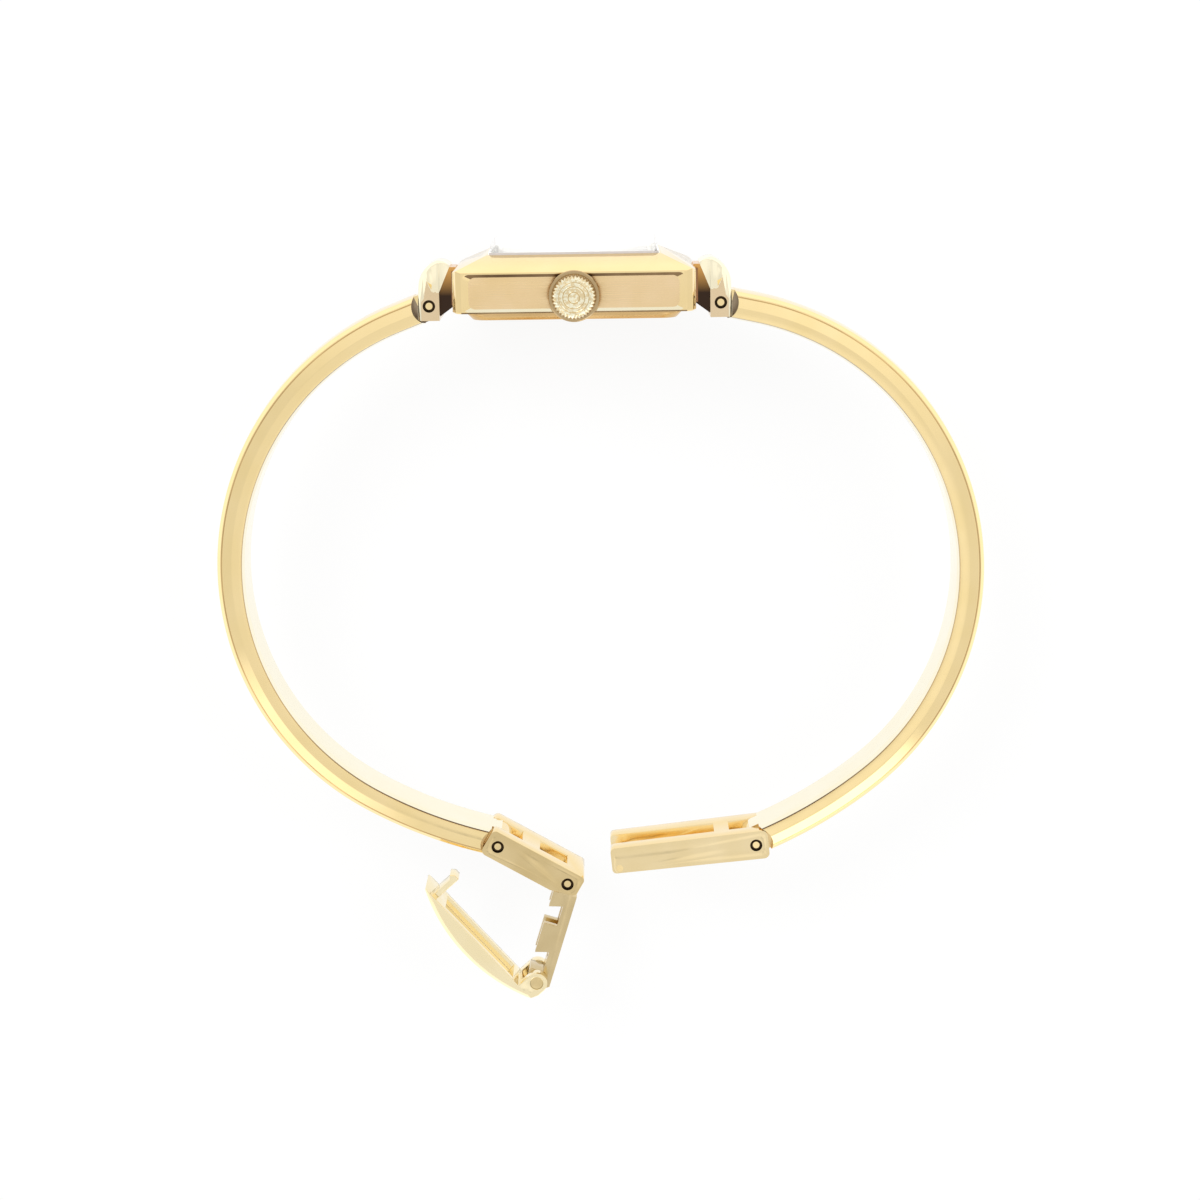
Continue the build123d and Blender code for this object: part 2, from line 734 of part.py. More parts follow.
# Blade: a channel with two hooked notches that catch on the pin, and an eye at each end
cover_pin_place = blade_plane.from_local_coords((blade_pitch, 0, 0))
cover_plane = link_plane(1, cover_heading, cover_pin_place)
with BuildPart() as blade:
    with BuildSketch(blade_plane):
        Circle(blade_hub_radius)
        with BuildLine():
            first, second = blade_first_notch, blade_second_notch
            end = blade_pitch + blade_end
            Polyline(
                (0, blade_hub_radius),
                (blade_start, blade_hub_radius),
                (blade_start, blade_back),
                (end - blade_tooth / 2, blade_back),
                (end, blade_back / 2),
                (end, -blade_end_drop / 2),
                (end - blade_tooth / 2, -blade_end_drop),
                (second + blade_notch_length, -blade_end_drop),
                (second + blade_notch_length, blade_notch_floor),
                (second - blade_hook, blade_notch_floor),
                (second, -blade_tooth),
                (first + blade_notch_length, -blade_tooth),
                (first + blade_notch_length, blade_notch_floor),
                (first - blade_hook, blade_notch_floor),
                (first, -blade_tooth),
                (blade_start, -blade_tooth),
                (blade_start, -blade_hub_radius / 2),
                (0, -blade_hub_radius / 2),
                close=True,
            )
        make_face()
    extrude(amount=blade_width / 2, both=True)
    with BuildSketch(blade_plane):
        with Locations((blade_pitch / 2, blade_groove_floor - blade_pitch / 2)):
            Rectangle(blade_pitch - 2 * blade_start - blade_end_drop, blade_pitch)
    extrude(amount=blade_groove / 2, both=True, mode=Mode.SUBTRACT)
    with BuildSketch(blade_plane):
        Circle(pin_radius + pin_gap)
        with Locations((blade_pitch, 0)):
            Circle(cover_pin_radius)
    extrude(amount=blade_width, both=True, mode=Mode.SUBTRACT)
save(blade, "blade")
pin_through(cover_plane, cover_pin_radius, cover_width - 2 * pin_recess, "cover_pin")

# Cover: a curved lid hinged on the blade's end, with the hook that snaps into the left link
with BuildPart() as cover:
    with BuildSketch(cover_plane):
        with BuildLine():
            Polyline(
                (cover_length, cover_brow),
                (cover_length, cover_seat),
                (-cover_tail, cover_seat),
                (-cover_tail, cover_brow),
            )
            ThreePointArc(
                (-cover_tail, cover_brow),
                (cover_bulge_place, cover_bulge),
                (cover_length, cover_brow),
            )
        make_face()
    extrude(amount=cover_width / 2, both=True)
    outer_edges = cover.faces().filter_by(GeomType.CYLINDER).edges().filter_by(GeomType.CIRCLE)
    chamfer(outer_edges, cover_bevel)
    # Hollow in the inner face, inside a rim
    hollow_length = cover_hook_place - cover_hook_thickness - 2 * cover_hollow_margin - cover_ear_radius
    with BuildSketch(cover_plane):
        with Locations((cover_ear_radius + cover_hollow_margin + hollow_length / 2, cover_seat)):
            Rectangle(hollow_length, 2 * cover_hollow)
    extrude(amount=cover_width / 2 - cover_hollow_margin, both=True, mode=Mode.SUBTRACT)
    # Ears that flank the blade's end
    with BuildSketch(cover_plane):
        Circle(cover_ear_radius)
        with BuildLine():
            Polyline(
                (-cover_ear_radius, 0),
                (-cover_ear_radius, cover_tail_height),
                (-cover_tail, cover_seat),
                (cover_ear_radius, cover_seat),
                (cover_ear_radius, 0),
                close=True,
            )
        make_face()
    extrude(amount=cover_width / 2, both=True)
    # Slot in which the blade's end turns
    with BuildSketch(cover_plane):
        Circle(hypot(blade_end - blade_tooth / 2, blade_back) + fit_gap)
        with Locations((0, -cover_seat / 2)):
            Rectangle(2 * cover_seat, cover_seat)
    extrude(amount=slot_width / 2, both=True, mode=Mode.SUBTRACT)
    # Hook with its barb
    with BuildSketch(cover_plane):
        with BuildLine():
            near = cover_hook_place - cover_hook_thickness / 2
            far = cover_hook_place + cover_hook_thickness / 2
            tip = cover_seat - cover_hook_reach
            Polyline(
                (near, cover_seat + cover_barb),
                (near, tip),
                (far, tip),
                (far + cover_barb, tip + cover_barb),
                (far, tip + 2 * cover_barb),
                (far, cover_seat + cover_barb),
                close=True,
            )
        make_face()
    extrude(amount=cover_hook_width / 2, both=True)
    with BuildSketch(cover_plane):
        Circle(cover_pin_radius + pin_gap)
    extrude(amount=cover_width, both=True, mode=Mode.SUBTRACT)
save(cover, "cover")

# Crown with its gasket, the tube in the case's side and the winding stem
crown_start = case_width + crown_gap
crown_end = crown_start + crown_depth
crown_eye = crown_bore_depth + crown_ring  # how far the stem stands in the crown
with BuildPart() as crown:
    with BuildSketch(Plane(origin=(0, -stem_drop, crown_start), x_dir=(1, 0, 0), z_dir=(0, -1, 0))):
        with BuildLine():
            TangentArc(
                (0, crown_depth), (crown_grip_radius, crown_depth - crown_dome_rise), tangent=(1, 0)
            )
            Polyline(
                (crown_grip_radius, crown_depth - crown_dome_rise),
                (crown_grip_radius, crown_ring),
                (crown_radius, crown_ring),
                (crown_radius, 0),
                (crown_bore, 0),
                (crown_bore, crown_bore_depth),
                (stem_radius, crown_bore_depth),
                (stem_radius, crown_eye),
                (0, crown_eye),
                (0, crown_depth),
            )
        make_face()
    revolve(axis=Axis((0, -stem_drop, 0), (0, 0, 1)))
    # Coin edge: notches round the grip
    with BuildSketch(stem_plane(crown_start + crown_ring)):
        with PolarLocations(crown_grip_radius, crown_tooth_count):
            RegularPolygon(crown_tooth_depth, 4)
    extrude(amount=crown_depth, mode=Mode.SUBTRACT)
    with BuildSketch(stem_plane(crown_end)):
        Circle(crown_face_ring)
        Circle(crown_face_ring - crown_ring_groove, mode=Mode.SUBTRACT)
    extrude(amount=-crown_dome_rise, mode=Mode.SUBTRACT)
save(crown, "crown")

with BuildPart() as crown_gasket:
    with BuildSketch(stem_plane(crown_start + fit_gap)):
        Circle(crown_bore)
        Circle(tube_radius + fit_gap, mode=Mode.SUBTRACT)
    extrude(amount=crown_ring / 2)
save(crown_gasket, "crown_gasket")

with BuildPart() as crown_tube:
    with BuildSketch(stem_plane(case_width - case_wall)):
        Circle(tube_radius)
        Circle(tube_bore, mode=Mode.SUBTRACT)
    extrude(amount=case_wall + tube_proud)
save(crown_tube, "crown_tube")

stem_start = middle + plate_width / 2 - stem_depth
with BuildPart() as stem:
    with BuildSketch(stem_plane(stem_start)):
        Circle(stem_radius)
    extrude(amount=crown_start + crown_eye - stem_start)
save(stem, "stem")


# Movement: a going train from barrel to third wheel, and the motion work under the dial
def axis_plane(place, level):
    """The dial's plane moved to an arbor, at a level of its own."""
    return Plane(origin=(place[1], level, middle + place[0]), x_dir=(0, 0, 1), z_dir=(0, 1, 0))


def wheel(place, levels, teeth, module, towards, toothed):
    """Add a toothed wheel between two levels to the part being built."""
    with BuildSketch(axis_plane(place, levels[0])) as outline:
        gear_ring(teeth, module, towards, toothed)
    extrude(outline.sketch, amount=levels[1] - levels[0])


def bore(place, radius):
    """Cut a hole for an arbor through every level."""
    with BuildSketch(axis_plane(place, -case_length)) as hole:
        Circle(radius)
    extrude(hole.sketch, amount=2 * case_length, mode=Mode.SUBTRACT)


def arbor(place, radius, low, high):
    """Add a round arbor between two levels to the part being built."""
    with BuildSketch(axis_plane(place, low)) as shaft:
        Circle(radius)
    extrude(shaft.sketch, amount=high - low)


def out_at(distance, direction):
    """A place over the dial at a distance and direction from its middle."""
    return (distance * cos(radians(direction)), distance * sin(radians(direction)))


def opposite(direction):
    """The direction that points the other way."""
    return direction + half_turn


centre = (0, 0)
barrel_teeth_reach = barrel_teeth / 2 + addendum_share
barrel_teeth_reach += (barrel_teeth + centre_pinion_teeth) / 2 * sin(radians(barrel_direction))
gear_module = (plate_length / 2 - train_margin) / barrel_teeth_reach
motion_module = motion_module_share * gear_module
barrel_place = out_at(gear_module * (barrel_teeth + centre_pinion_teeth) / 2, barrel_direction)
third_place = out_at(gear_module * (centre_teeth + third_pinion_teeth) / 2, third_direction)
motion_distance = motion_module * (cannon_teeth + minute_wheel_teeth) / 2
minute_place = out_at(motion_distance, minute_direction)
hour_module = 2 * motion_distance / (minute_pinion_teeth + hour_wheel_teeth)
winding_place = plate_width / 2 - winding_depth
bridge_posts = [(plate_width * over, plate_length * up) for over, up in bridge_post_shares]
balance_place = (plate_width * balance_place_shares[0], plate_length * balance_place_shares[1])

# Levels of the wheels, each piece a running gap from the next
plate_low = plate_web_level - plate_thickness
bridge_high = plate_low - train_space
bridge_low = bridge_high - bridge_thickness
train_top = plate_low - fit_gap
train_low = bridge_high + fit_gap
barrel_levels = (train_top - barrel_thickness, train_top)
centre_wheel_levels = (train_low, train_low + train_thickness)
centre_pinion_levels = (train_low + train_thickness, train_top)
third_wheel_levels = (train_top - train_thickness, train_top)
third_pinion_levels = (train_low, train_top - train_thickness)
motion_low = plate_web_level + fit_gap
cannon_levels = (motion_low, motion_low + train_thickness)
hour_wheel_low = motion_low + train_thickness + fit_gap
hour_wheel_levels = (hour_wheel_low, hour_wheel_low + hour_wheel_thickness)

with BuildPart() as main_plate:
    with BuildSketch(dial_plane(plate_low)):
        RectangleRounded(plate_width, plate_length, plate_corner)
    extrude(amount=dial_bottom - plate_low)
    with BuildSketch(dial_plane(plate_web_level)):
        RectangleRounded(
            plate_width - 2 * plate_rim, plate_length - 2 * plate_rim, plate_corner - plate_rim
        )
    extrude(amount=dial_bottom, mode=Mode.SUBTRACT)
    arbor(minute_place, arbor_radius, plate_low, hour_wheel_levels[1])
    with BuildSketch(dial_plane(plate_low)):
        with Locations(*dial_feet):
            Circle(dial_feet_radius)
    extrude(amount=case_length, mode=Mode.SUBTRACT)
    bore(centre, arbor_radius + arbor_gap)
    bore(third_place, arbor_radius + arbor_gap)
    bore(barrel_place, barrel_arbor_radius + arbor_gap)
    with BuildSketch(stem_plane(stem_start - fit_gap)):
        Circle(stem_radius + fit_gap)
    extrude(amount=plate_width, mode=Mode.SUBTRACT)
    with BuildSketch(dial_plane(plate_low)):
        with Locations((winding_place + winding_length / 2, 0)):
            Rectangle(
                winding_length + 2 * winding_gap,
                winding_module * (winding_teeth + 2) + 2 * winding_gap,
            )
    extrude(amount=plate_thickness, mode=Mode.SUBTRACT)
save(main_plate, "main_plate")

with BuildPart() as train_bridge:
    with BuildSketch(dial_plane(bridge_low)):
        RectangleRounded(
            plate_width - 2 * bridge_margin, plate_length - 2 * bridge_margin, plate_corner - bridge_margin
        )
        with Locations(balance_place):
            Circle(balance_clearance, mode=Mode.SUBTRACT)
        with Locations((balance_place[0] - balance_clearance, balance_place[1] - balance_clearance)):
            Rectangle(2 * balance_clearance, 2 * balance_clearance, mode=Mode.SUBTRACT)
    extrude(amount=bridge_high - bridge_low)
    with BuildSketch(dial_plane(bridge_high)):
        with Locations(*bridge_posts):
            Circle(post_radius)
    extrude(amount=plate_low - bridge_high)
    bore(centre, arbor_radius + arbor_gap)
    bore(third_place, arbor_radius + arbor_gap)
    bore(barrel_place, barrel_arbor_radius + arbor_gap)
save(train_bridge, "train_bridge")

with BuildPart() as movement_holder:
    with BuildSketch(dial_plane(-side_half + back_lip_depth)):
        RectangleRounded(pocket_width - 2 * fit_gap, pocket_length - 2 * fit_gap, pocket_corner)
        RectangleRounded(plate_width, plate_length, plate_corner, mode=Mode.SUBTRACT)
    extrude(amount=side_half - back_lip_depth + dial_top_level + fit_gap)
    with BuildSketch(stem_plane(middle)):
        Circle(tube_bore)
    extrude(amount=plate_width, mode=Mode.SUBTRACT)
save(movement_holder, "movement_holder")

with BuildPart() as barrel:
    wheel(barrel_place, barrel_levels, barrel_teeth, gear_module, opposite(barrel_direction), True)
    arbor(barrel_place, barrel_arbor_radius, bridge_low, plate_low + plate_rim)
save(barrel, "barrel")

with BuildPart() as centre_wheel:
    wheel(centre, centre_pinion_levels, centre_pinion_teeth, gear_module, barrel_direction, False)
    wheel(centre, centre_wheel_levels, centre_teeth, gear_module, third_direction, True)
    arbor(centre, arbor_radius, bridge_low, minute_hand_level + hand_thickness)
save(centre_wheel, "centre_wheel")

with BuildPart() as third_wheel:
    pinion_direction = opposite(third_direction)
    wheel(third_place, third_pinion_levels, third_pinion_teeth, gear_module, pinion_direction, False)
    wheel(third_place, third_wheel_levels, third_teeth, gear_module, third_direction, True)
    arbor(third_place, arbor_radius, bridge_low, plate_web_level)
save(third_wheel, "third_wheel")

with BuildPart() as cannon_pinion:
    wheel(centre, cannon_levels, cannon_teeth, motion_module, minute_direction, False)
    arbor(centre, cannon_radius, cannon_levels[0], minute_hand_level + hand_thickness)
    bore(centre, arbor_radius)
save(cannon_pinion, "cannon_pinion")

with BuildPart() as minute_wheel:
    inwards = opposite(minute_direction)
    wheel(minute_place, cannon_levels, minute_wheel_teeth, motion_module, inwards, True)
    pinion_levels = (cannon_levels[1], hour_wheel_levels[1])
    wheel(minute_place, pinion_levels, minute_pinion_teeth, hour_module, inwards, False)
    bore(minute_place, arbor_radius + arbor_gap)
save(minute_wheel, "minute_wheel")

with BuildPart() as hour_wheel:
    wheel(centre, hour_wheel_levels, hour_wheel_teeth, hour_module, minute_direction, True)
    arbor(centre, hour_pipe_radius, hour_wheel_levels[1], hour_hand_level + hand_thickness)
    bore(centre, cannon_radius + arbor_gap)
save(hour_wheel, "hour_wheel")

with BuildPart() as winding_pinion:
    with BuildSketch(stem_plane(middle + winding_place)):
        gear_ring(winding_teeth, winding_module, 0)
        Circle(stem_radius + pin_gap, mode=Mode.SUBTRACT)
    extrude(amount=winding_length)
save(winding_pinion, "winding_pinion")
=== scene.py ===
import json
from math import cos, pi, radians, sin

import bmesh
import bpy
import numpy as np
from mathutils import Euler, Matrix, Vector


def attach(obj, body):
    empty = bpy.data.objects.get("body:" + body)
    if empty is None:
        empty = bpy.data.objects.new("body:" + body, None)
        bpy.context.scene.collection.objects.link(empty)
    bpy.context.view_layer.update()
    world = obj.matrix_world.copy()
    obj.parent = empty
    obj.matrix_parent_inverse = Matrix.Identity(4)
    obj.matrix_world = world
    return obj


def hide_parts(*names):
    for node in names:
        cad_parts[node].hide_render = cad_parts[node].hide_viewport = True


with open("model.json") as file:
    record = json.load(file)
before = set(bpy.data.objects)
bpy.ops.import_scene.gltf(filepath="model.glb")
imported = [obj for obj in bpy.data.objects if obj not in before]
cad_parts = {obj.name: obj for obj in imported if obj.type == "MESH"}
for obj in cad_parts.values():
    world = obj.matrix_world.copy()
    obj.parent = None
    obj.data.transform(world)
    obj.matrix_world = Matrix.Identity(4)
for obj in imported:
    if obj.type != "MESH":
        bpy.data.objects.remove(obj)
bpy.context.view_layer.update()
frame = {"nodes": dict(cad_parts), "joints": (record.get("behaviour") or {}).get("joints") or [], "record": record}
nodes = frame["nodes"]
mm = 0.001

# The CAD's own values, in millimetres and degrees
mid = 7.75  # the middle of the band and the case, over the floor
case_width, panel_depth = 15.5, 0.12

band_width, band_thickness = 5.5, 2.25
band_inner_bevel, band_inner_rise = 0.8, 0.2
band_ridge_rise, band_shoulder_rise, band_shoulder_run = 0.95, 1.85, 0.4
band_top_run, band_crown = 0.75, 0.12
tongue_width, tongue_radius, scoop_radius = 2.4, 1.05, 1.38
pin_radius, pin_gap, pin_mouth_radius, pin_mouth_depth = 0.27, 0.02, 0.48, 0.45
arm_straight, bend_radius, bend_angle = 2.8, 21.17, 129.55
tail_radius, tail_angle, tail_straight = 36.8, 13.96, 1.47
right_heading, left_heading, arm_open_heading = -11.94, -21.15, 3.1

# The hood's values are in its own frame: x outwards from its pin, y upwards out of the dial
hood_pin = (11.18, -1.3)
hood_pin_reach, hood_front, fit_gap = 2.03, 0.85, 0.05
hood_foot, hood_waist_back, hood_waist_height = 1.12, 0.8, 1.04
hood_shoulder, hood_crest, hood_brow, hood_apex = (0.42, 2.65), (-0.6, 3.4), (-1.1, 3.32), (-1.6, 3.02)
hood_lean = 0.95
neck_half, plate_half, plate_thickness = 1.7, 2.2, 0.3
slot_half, slot_top, slot_gap = 1.25, 1.3, 0.1

crown_foot, crown_bore_end, crown_front, crown_height = 15.62, 16.62, 17.62, -0.25
crown_radius, crown_grip_radius, crown_bore_radius = 1.92, 1.68, 1.0
crown_dome, crown_teeth = 0.4, 36

# Finer shapes that only the visual pieces have
band_line_width, band_lip, band_easing, band_top_drop = 0.2, 0.1, 0.05, 0.006
hood_edge_x = (-1.6, -0.81, -0.25, 0.15, 0.4, 0.85)  # the lower edge of the dome, over each ear
hood_edge_y = (1.06, 1.06, 1.11, 1.97, 0.6, 0.0)
hood_corner, hood_top_start, hood_top_share, hood_top_round = 0.36, 0.93, 0.07, 0.3
hood_wall_step, hood_back_edge = 0.012, 0.05
neck_top, neck_foot, neck_front, neck_heel, plate_top = 2.9, 0.03, -0.6, 0.35, 2.6
knurl_depth, knurl_fade_start, knurl_fade = 0.13, 1.3, 0.25
crown_rings, crown_ring_depth, crown_ring_width = (1.12, 0.82, 0.42), 0.05, 0.045


# Materials
def new_material(name):
    """A material, its node tree and its shader."""
    material = bpy.data.materials.new(name)
    material.use_nodes = True
    tree = material.node_tree
    return material, tree, tree.nodes["Principled BSDF"]


def noise(tree, scale, stretch=(1, 1, 1), detail=3.0):
    """A noise value over the object's own millimetres, stretched along its axes."""
    place = tree.nodes.new("ShaderNodeTexCoord")
    mapping = tree.nodes.new("ShaderNodeMapping")
    mapping.inputs["Scale"].default_value = [s / mm for s in stretch]
    tree.links.new(place.outputs["Object"], mapping.inputs["Vector"])
    texture = tree.nodes.new("ShaderNodeTexNoise")
    texture.inputs["Scale"].default_value = scale
    texture.inputs["Detail"].default_value = detail
    tree.links.new(mapping.outputs["Vector"], texture.inputs["Vector"])
    return texture.outputs["Fac"]


def ramp(tree, value, low, high, start=0.3, end=0.7):
    """Map a value that runs from start to end on to low to high."""
    node = tree.nodes.new("ShaderNodeMapRange")
    node.inputs["From Min"].default_value = start
    node.inputs["From Max"].default_value = end
    node.inputs["To Min"].default_value = low
    node.inputs["To Max"].default_value = high
    tree.links.new(value, node.inputs["Value"])
    return node.outputs["Result"]


def tint(tree, value, first, second):
    """Mix two colours by a value."""
    node = tree.nodes.new("ShaderNodeMix")
    node.data_type = "RGBA"
    node.inputs["A"].default_value = (*first, 1)
    node.inputs["B"].default_value = (*second, 1)
    tree.links.new(value, node.inputs["Factor"])
    return node.outputs["Result"]


def relief(tree, shader, value, depth):
    """Give the shader a bump from a value, its depth in millimetres."""
    node = tree.nodes.new("ShaderNodeBump")
    node.inputs["Distance"].default_value = depth * mm
    tree.links.new(value, node.inputs["Height"])
    tree.links.new(node.outputs["Normal"], shader.inputs["Normal"])


def join(tree, operation, first, second=0.0):
    """One step of arithmetic between two values, each a socket or a number."""
    node = tree.nodes.new("ShaderNodeMath")
    node.operation = operation
    for socket, value in zip(node.inputs, (first, second)):
        if isinstance(value, (int, float)):
            socket.default_value = value
        else:
            tree.links.new(value, socket)
    return node.outputs[0]


def metal(
    name, first, second, rough, stretch=(1, 1, 1), scale=1.0, depth=0.0, spread=0.04, mottled=False
):
    """A metal whose colour and gloss vary a little, with a fine polished or brushed relief. A mottled
    one takes its colour from the fine grain."""
    material, tree, shader = new_material(name)
    shader.inputs["Metallic"].default_value = 1.0
    broad = noise(tree, 0.35, detail=2.0)
    fine = noise(tree, scale, stretch, 4.0)
    level = ramp(tree, fine, 0, 1, 0.42, 0.56) if mottled else ramp(tree, broad, 0, 1)
    tree.links.new(tint(tree, level, first, second), shader.inputs["Base Color"])
    tree.links.new(ramp(tree, fine, rough - spread, rough + spread), shader.inputs["Roughness"])
    if depth:
        relief(tree, shader, fine, depth)
    return material


def matt(name, first, second, scale, rough, depth, metallic=0.0):
    """A matt material whose colour varies a little, with a fine grain."""
    material, tree, shader = new_material(name)
    grain = noise(tree, scale)
    tree.links.new(tint(tree, grain, first, second), shader.inputs["Base Color"])
    shader.inputs["Metallic"].default_value = metallic
    shader.inputs["Roughness"].default_value = rough
    relief(tree, shader, grain, depth)
    return material


def clear_glass(name, colour, face_on, edge_on):
    """Thin clear glass: nearly unseen face on, a little more so where it is seen along its surface."""
    material, tree, shader = new_material(name)
    shader.inputs["Base Color"].default_value = (*colour, 1)
    slant = tree.nodes.new("ShaderNodeLayerWeight")
    slant.inputs["Blend"].default_value = 0.35
    tree.links.new(ramp(tree, slant.outputs["Facing"], face_on, edge_on, 0.2, 1.0), shader.inputs["Alpha"])
    tree.links.new(ramp(tree, noise(tree, 2.0), 0.01, 0.05), shader.inputs["Roughness"])
    return material


def height_in(tree):
    """The object's own height out of the dial, Y, in metres."""
    place = tree.nodes.new("ShaderNodeTexCoord")
    split = tree.nodes.new("ShaderNodeSeparateXYZ")
    tree.links.new(place.outputs["Object"], split.inputs["Vector"])
    return split.outputs["Y"]


def polished(tree, shader, low, high):
    """Polished metal whose roughness varies between two numbers."""
    shader.inputs["Metallic"].default_value = 1.0
    grain = noise(tree, 1.6)
    tree.links.new(ramp(tree, grain, low, high), shader.inputs["Roughness"])
    relief(tree, shader, grain, 0.001)


def middle_tone(name, near, far, level, inner, outer):
    """A polished metal with one tone near a height and another farther from it, in millimetres."""
    material, tree, shader = new_material(name)
    away = join(tree, "ABSOLUTE", join(tree, "SUBTRACT", height_in(tree), level * mm))
    reach = ramp(tree, away, 0, 1, inner * mm, outer * mm)
    tree.links.new(tint(tree, reach, near, far), shader.inputs["Base Color"])
    polished(tree, shader, 0.15, 0.22)
    return material


def falling_tone(name, high, low, top, bottom):
    """A polished metal whose colour falls from one tone to another between heights in millimetres."""
    material, tree, shader = new_material(name)
    level = ramp(tree, height_in(tree), 0, 1, bottom * mm, top * mm)
    tree.links.new(tint(tree, level, low, high), shader.inputs["Base Color"])
    polished(tree, shader, 0.13, 0.19)
    return material


even, brushed, long_grain, link_grain = (1, 1, 1), (0.25, 14, 14), (0.5, 3, 3), (0.6, 1.5, 1.5)
gold = metal("polished_gold", (0.95, 0.74, 0.37), (0.98, 0.77, 0.41), 0.09, even, 1.6, 0.0012)
satin = metal("satin_gold", (0.88, 0.65, 0.34), (0.94, 0.71, 0.42), 0.3, brushed, 1.0, 0.002, 0.08)
# Painted shade: the case back in a darker brown than the gold
back_painted_shade = metal("back_painted_shade", (0.66, 0.43, 0.18), (0.74, 0.50, 0.23), 0.18, long_grain, 1.0, 0.003, 0.05)
band_gold = metal("band_gold", (0.95, 0.745, 0.37), (0.98, 0.775, 0.41), 0.11, even, 1.2, 0.0012)
# Painted highlight: the band's inner face paler and brighter than the gold
band_inside_painted_highlight = metal("band_inside_painted_highlight", (1.0, 0.92, 0.69), (1.0, 0.94, 0.74), 0.14, even, 1.2, 0.001)
# Painted shade: a brown line along the lip under each shoulder of the band
band_edge_painted_shade = metal("band_edge_painted_shade", (0.74, 0.50, 0.22), (0.55, 0.36, 0.15), 0.15)
# Painted shade: a dark line along the inner bevel, brown near the height -24 mm and nearly black farther from it
band_line_painted_shade = middle_tone("band_line_painted_shade", (0.58, 0.40, 0.17), (0.15, 0.09, 0.04), -24.0, 9.0, 17.0)
# Painted shade: the hollows for the ears at the arm's root dark, the sockets at its end a little darker than the
# gold
scoop_painted_shade = metal("scoop_painted_shade", (0.42, 0.33, 0.22), (0.24, 0.18, 0.12), 0.2)
socket_painted_shade = metal("socket_painted_shade", (0.72, 0.52, 0.25), (0.84, 0.64, 0.34), 0.16)
# Painted highlight: the hood's dome paler and brighter than the gold
dome_painted_highlight = metal("dome_painted_highlight", (1.0, 0.90, 0.63), (1.0, 0.92, 0.68), 0.1, even, 1.6, 0.001)
# Painted shade: the ears' flat fronts darker and greyer than the gold
ear_painted_shade = metal("ear_painted_shade", (0.80, 0.62, 0.38), (0.84, 0.66, 0.42), 0.16, even, 1.6, 0.001)
# Painted shade: the plate beside the case a dark reddish brown
plate_painted_shade = metal("plate_painted_shade", (0.42, 0.20, 0.09), (0.26, 0.13, 0.07), 0.18)
neck_shade = falling_tone("neck_shade", (0.80, 0.42, 0.12), (0.05, 0.03, 0.02), 1.6, -0.6)
# Painted shade: the crown's plain rim and knurled grip darker than the gold
crown_rim_painted_shade = metal("crown_rim_painted_shade", (0.46, 0.32, 0.16), (0.56, 0.41, 0.22), 0.16)
crown_grip_painted_shade = metal("crown_grip_painted_shade", (0.42, 0.29, 0.13), (0.60, 0.44, 0.22), 0.12)
# Painted glints: the crown face's colour mottled light and dark with the fine grain
crown_face_painted_glints = metal("crown_face_painted_glints", (0.84, 0.68, 0.40), (1.0, 0.95, 0.72), 0.1, even, 4.2, 0.02, mottled=True)
# Painted shade along the rings in the crown's face
crown_line_painted_shade = metal("crown_line_painted_shade", (0.68, 0.52, 0.28), (0.80, 0.63, 0.36), 0.14)
# Painted shade and painted light: the same gold, darker on the left link's outer faces, lighter on the right one's
link_face_painted_shade = metal("link_face_painted_shade", (0.66, 0.50, 0.24), (0.80, 0.63, 0.34), 0.12, link_grain, 1.6, 0.001)
link_face_painted_light = metal("link_face_painted_light", (0.88, 0.70, 0.38), (0.93, 0.76, 0.45), 0.12, link_grain, 1.6, 0.001)
# Painted highlight on the walls of the links' slots
slot_painted_highlight = metal("slot_painted_highlight", (0.99, 0.80, 0.46), (1.0, 0.84, 0.52), 0.16, even, 1.6, 0.001)
# Painted highlight: the clasp's cover paler than the gold
cover_painted_highlight = metal("cover_painted_highlight", (0.98, 0.84, 0.52), (1.0, 0.87, 0.57), 0.12, even, 1.6, 0.0015)
# Painted shade: the clasp's blade darker than the gold
blade_painted_shade = metal("blade_painted_shade", (0.63, 0.49, 0.26), (0.75, 0.60, 0.34), 0.16, long_grain, 1.0, 0.0015)
# Painted shade and painted highlight along the top and the foot of the case's satin panel
panel_painted_shade_line = metal("panel_painted_shade_line", (0.16, 0.10, 0.05), (0.34, 0.22, 0.11), 0.2)
panel_painted_highlight = metal("panel_painted_highlight", (1.0, 0.90, 0.62), (1.0, 0.93, 0.70), 0.12)
# Painted shade: a nearly black gold inside the pins' bores and their wider mouths
painted_bore_shade = metal("bore_shadow", (0.10, 0.06, 0.03), (0.06, 0.04, 0.02), 0.5)
gilt = metal("gilt_plate", (0.80, 0.63, 0.34), (0.86, 0.70, 0.42), 0.3, even, 12.0, 0.004, 0.06)
steel = metal("movement_steel", (0.60, 0.60, 0.61), (0.68, 0.68, 0.69), 0.25, even, 8.0, 0.002)

rubber = matt("gasket_rubber", (0.05, 0.05, 0.05), (0.09, 0.09, 0.09), 6.0, 0.6, 0.004)
nylon = matt("gasket_nylon", (0.88, 0.88, 0.87), (0.93, 0.93, 0.92), 6.0, 0.5, 0.003)
# Painted shade: the light nylon gasket grey on its near faces
gasket_painted_shade_line = matt("gasket_painted_shade_line", (0.44, 0.41, 0.40), (0.50, 0.47, 0.46), 6.0, 0.5, 0.003)
plastic = matt("holder_plastic", (0.62, 0.60, 0.55), (0.70, 0.68, 0.63), 5.0, 0.5, 0.004)
enamel = matt("dial_enamel", (0.80, 0.78, 0.72), (0.86, 0.84, 0.78), 9.0, 0.38, 0.002, metallic=0.3)
glass = clear_glass("crystal_glass", (0.95, 0.95, 0.95), 0.015, 0.12)
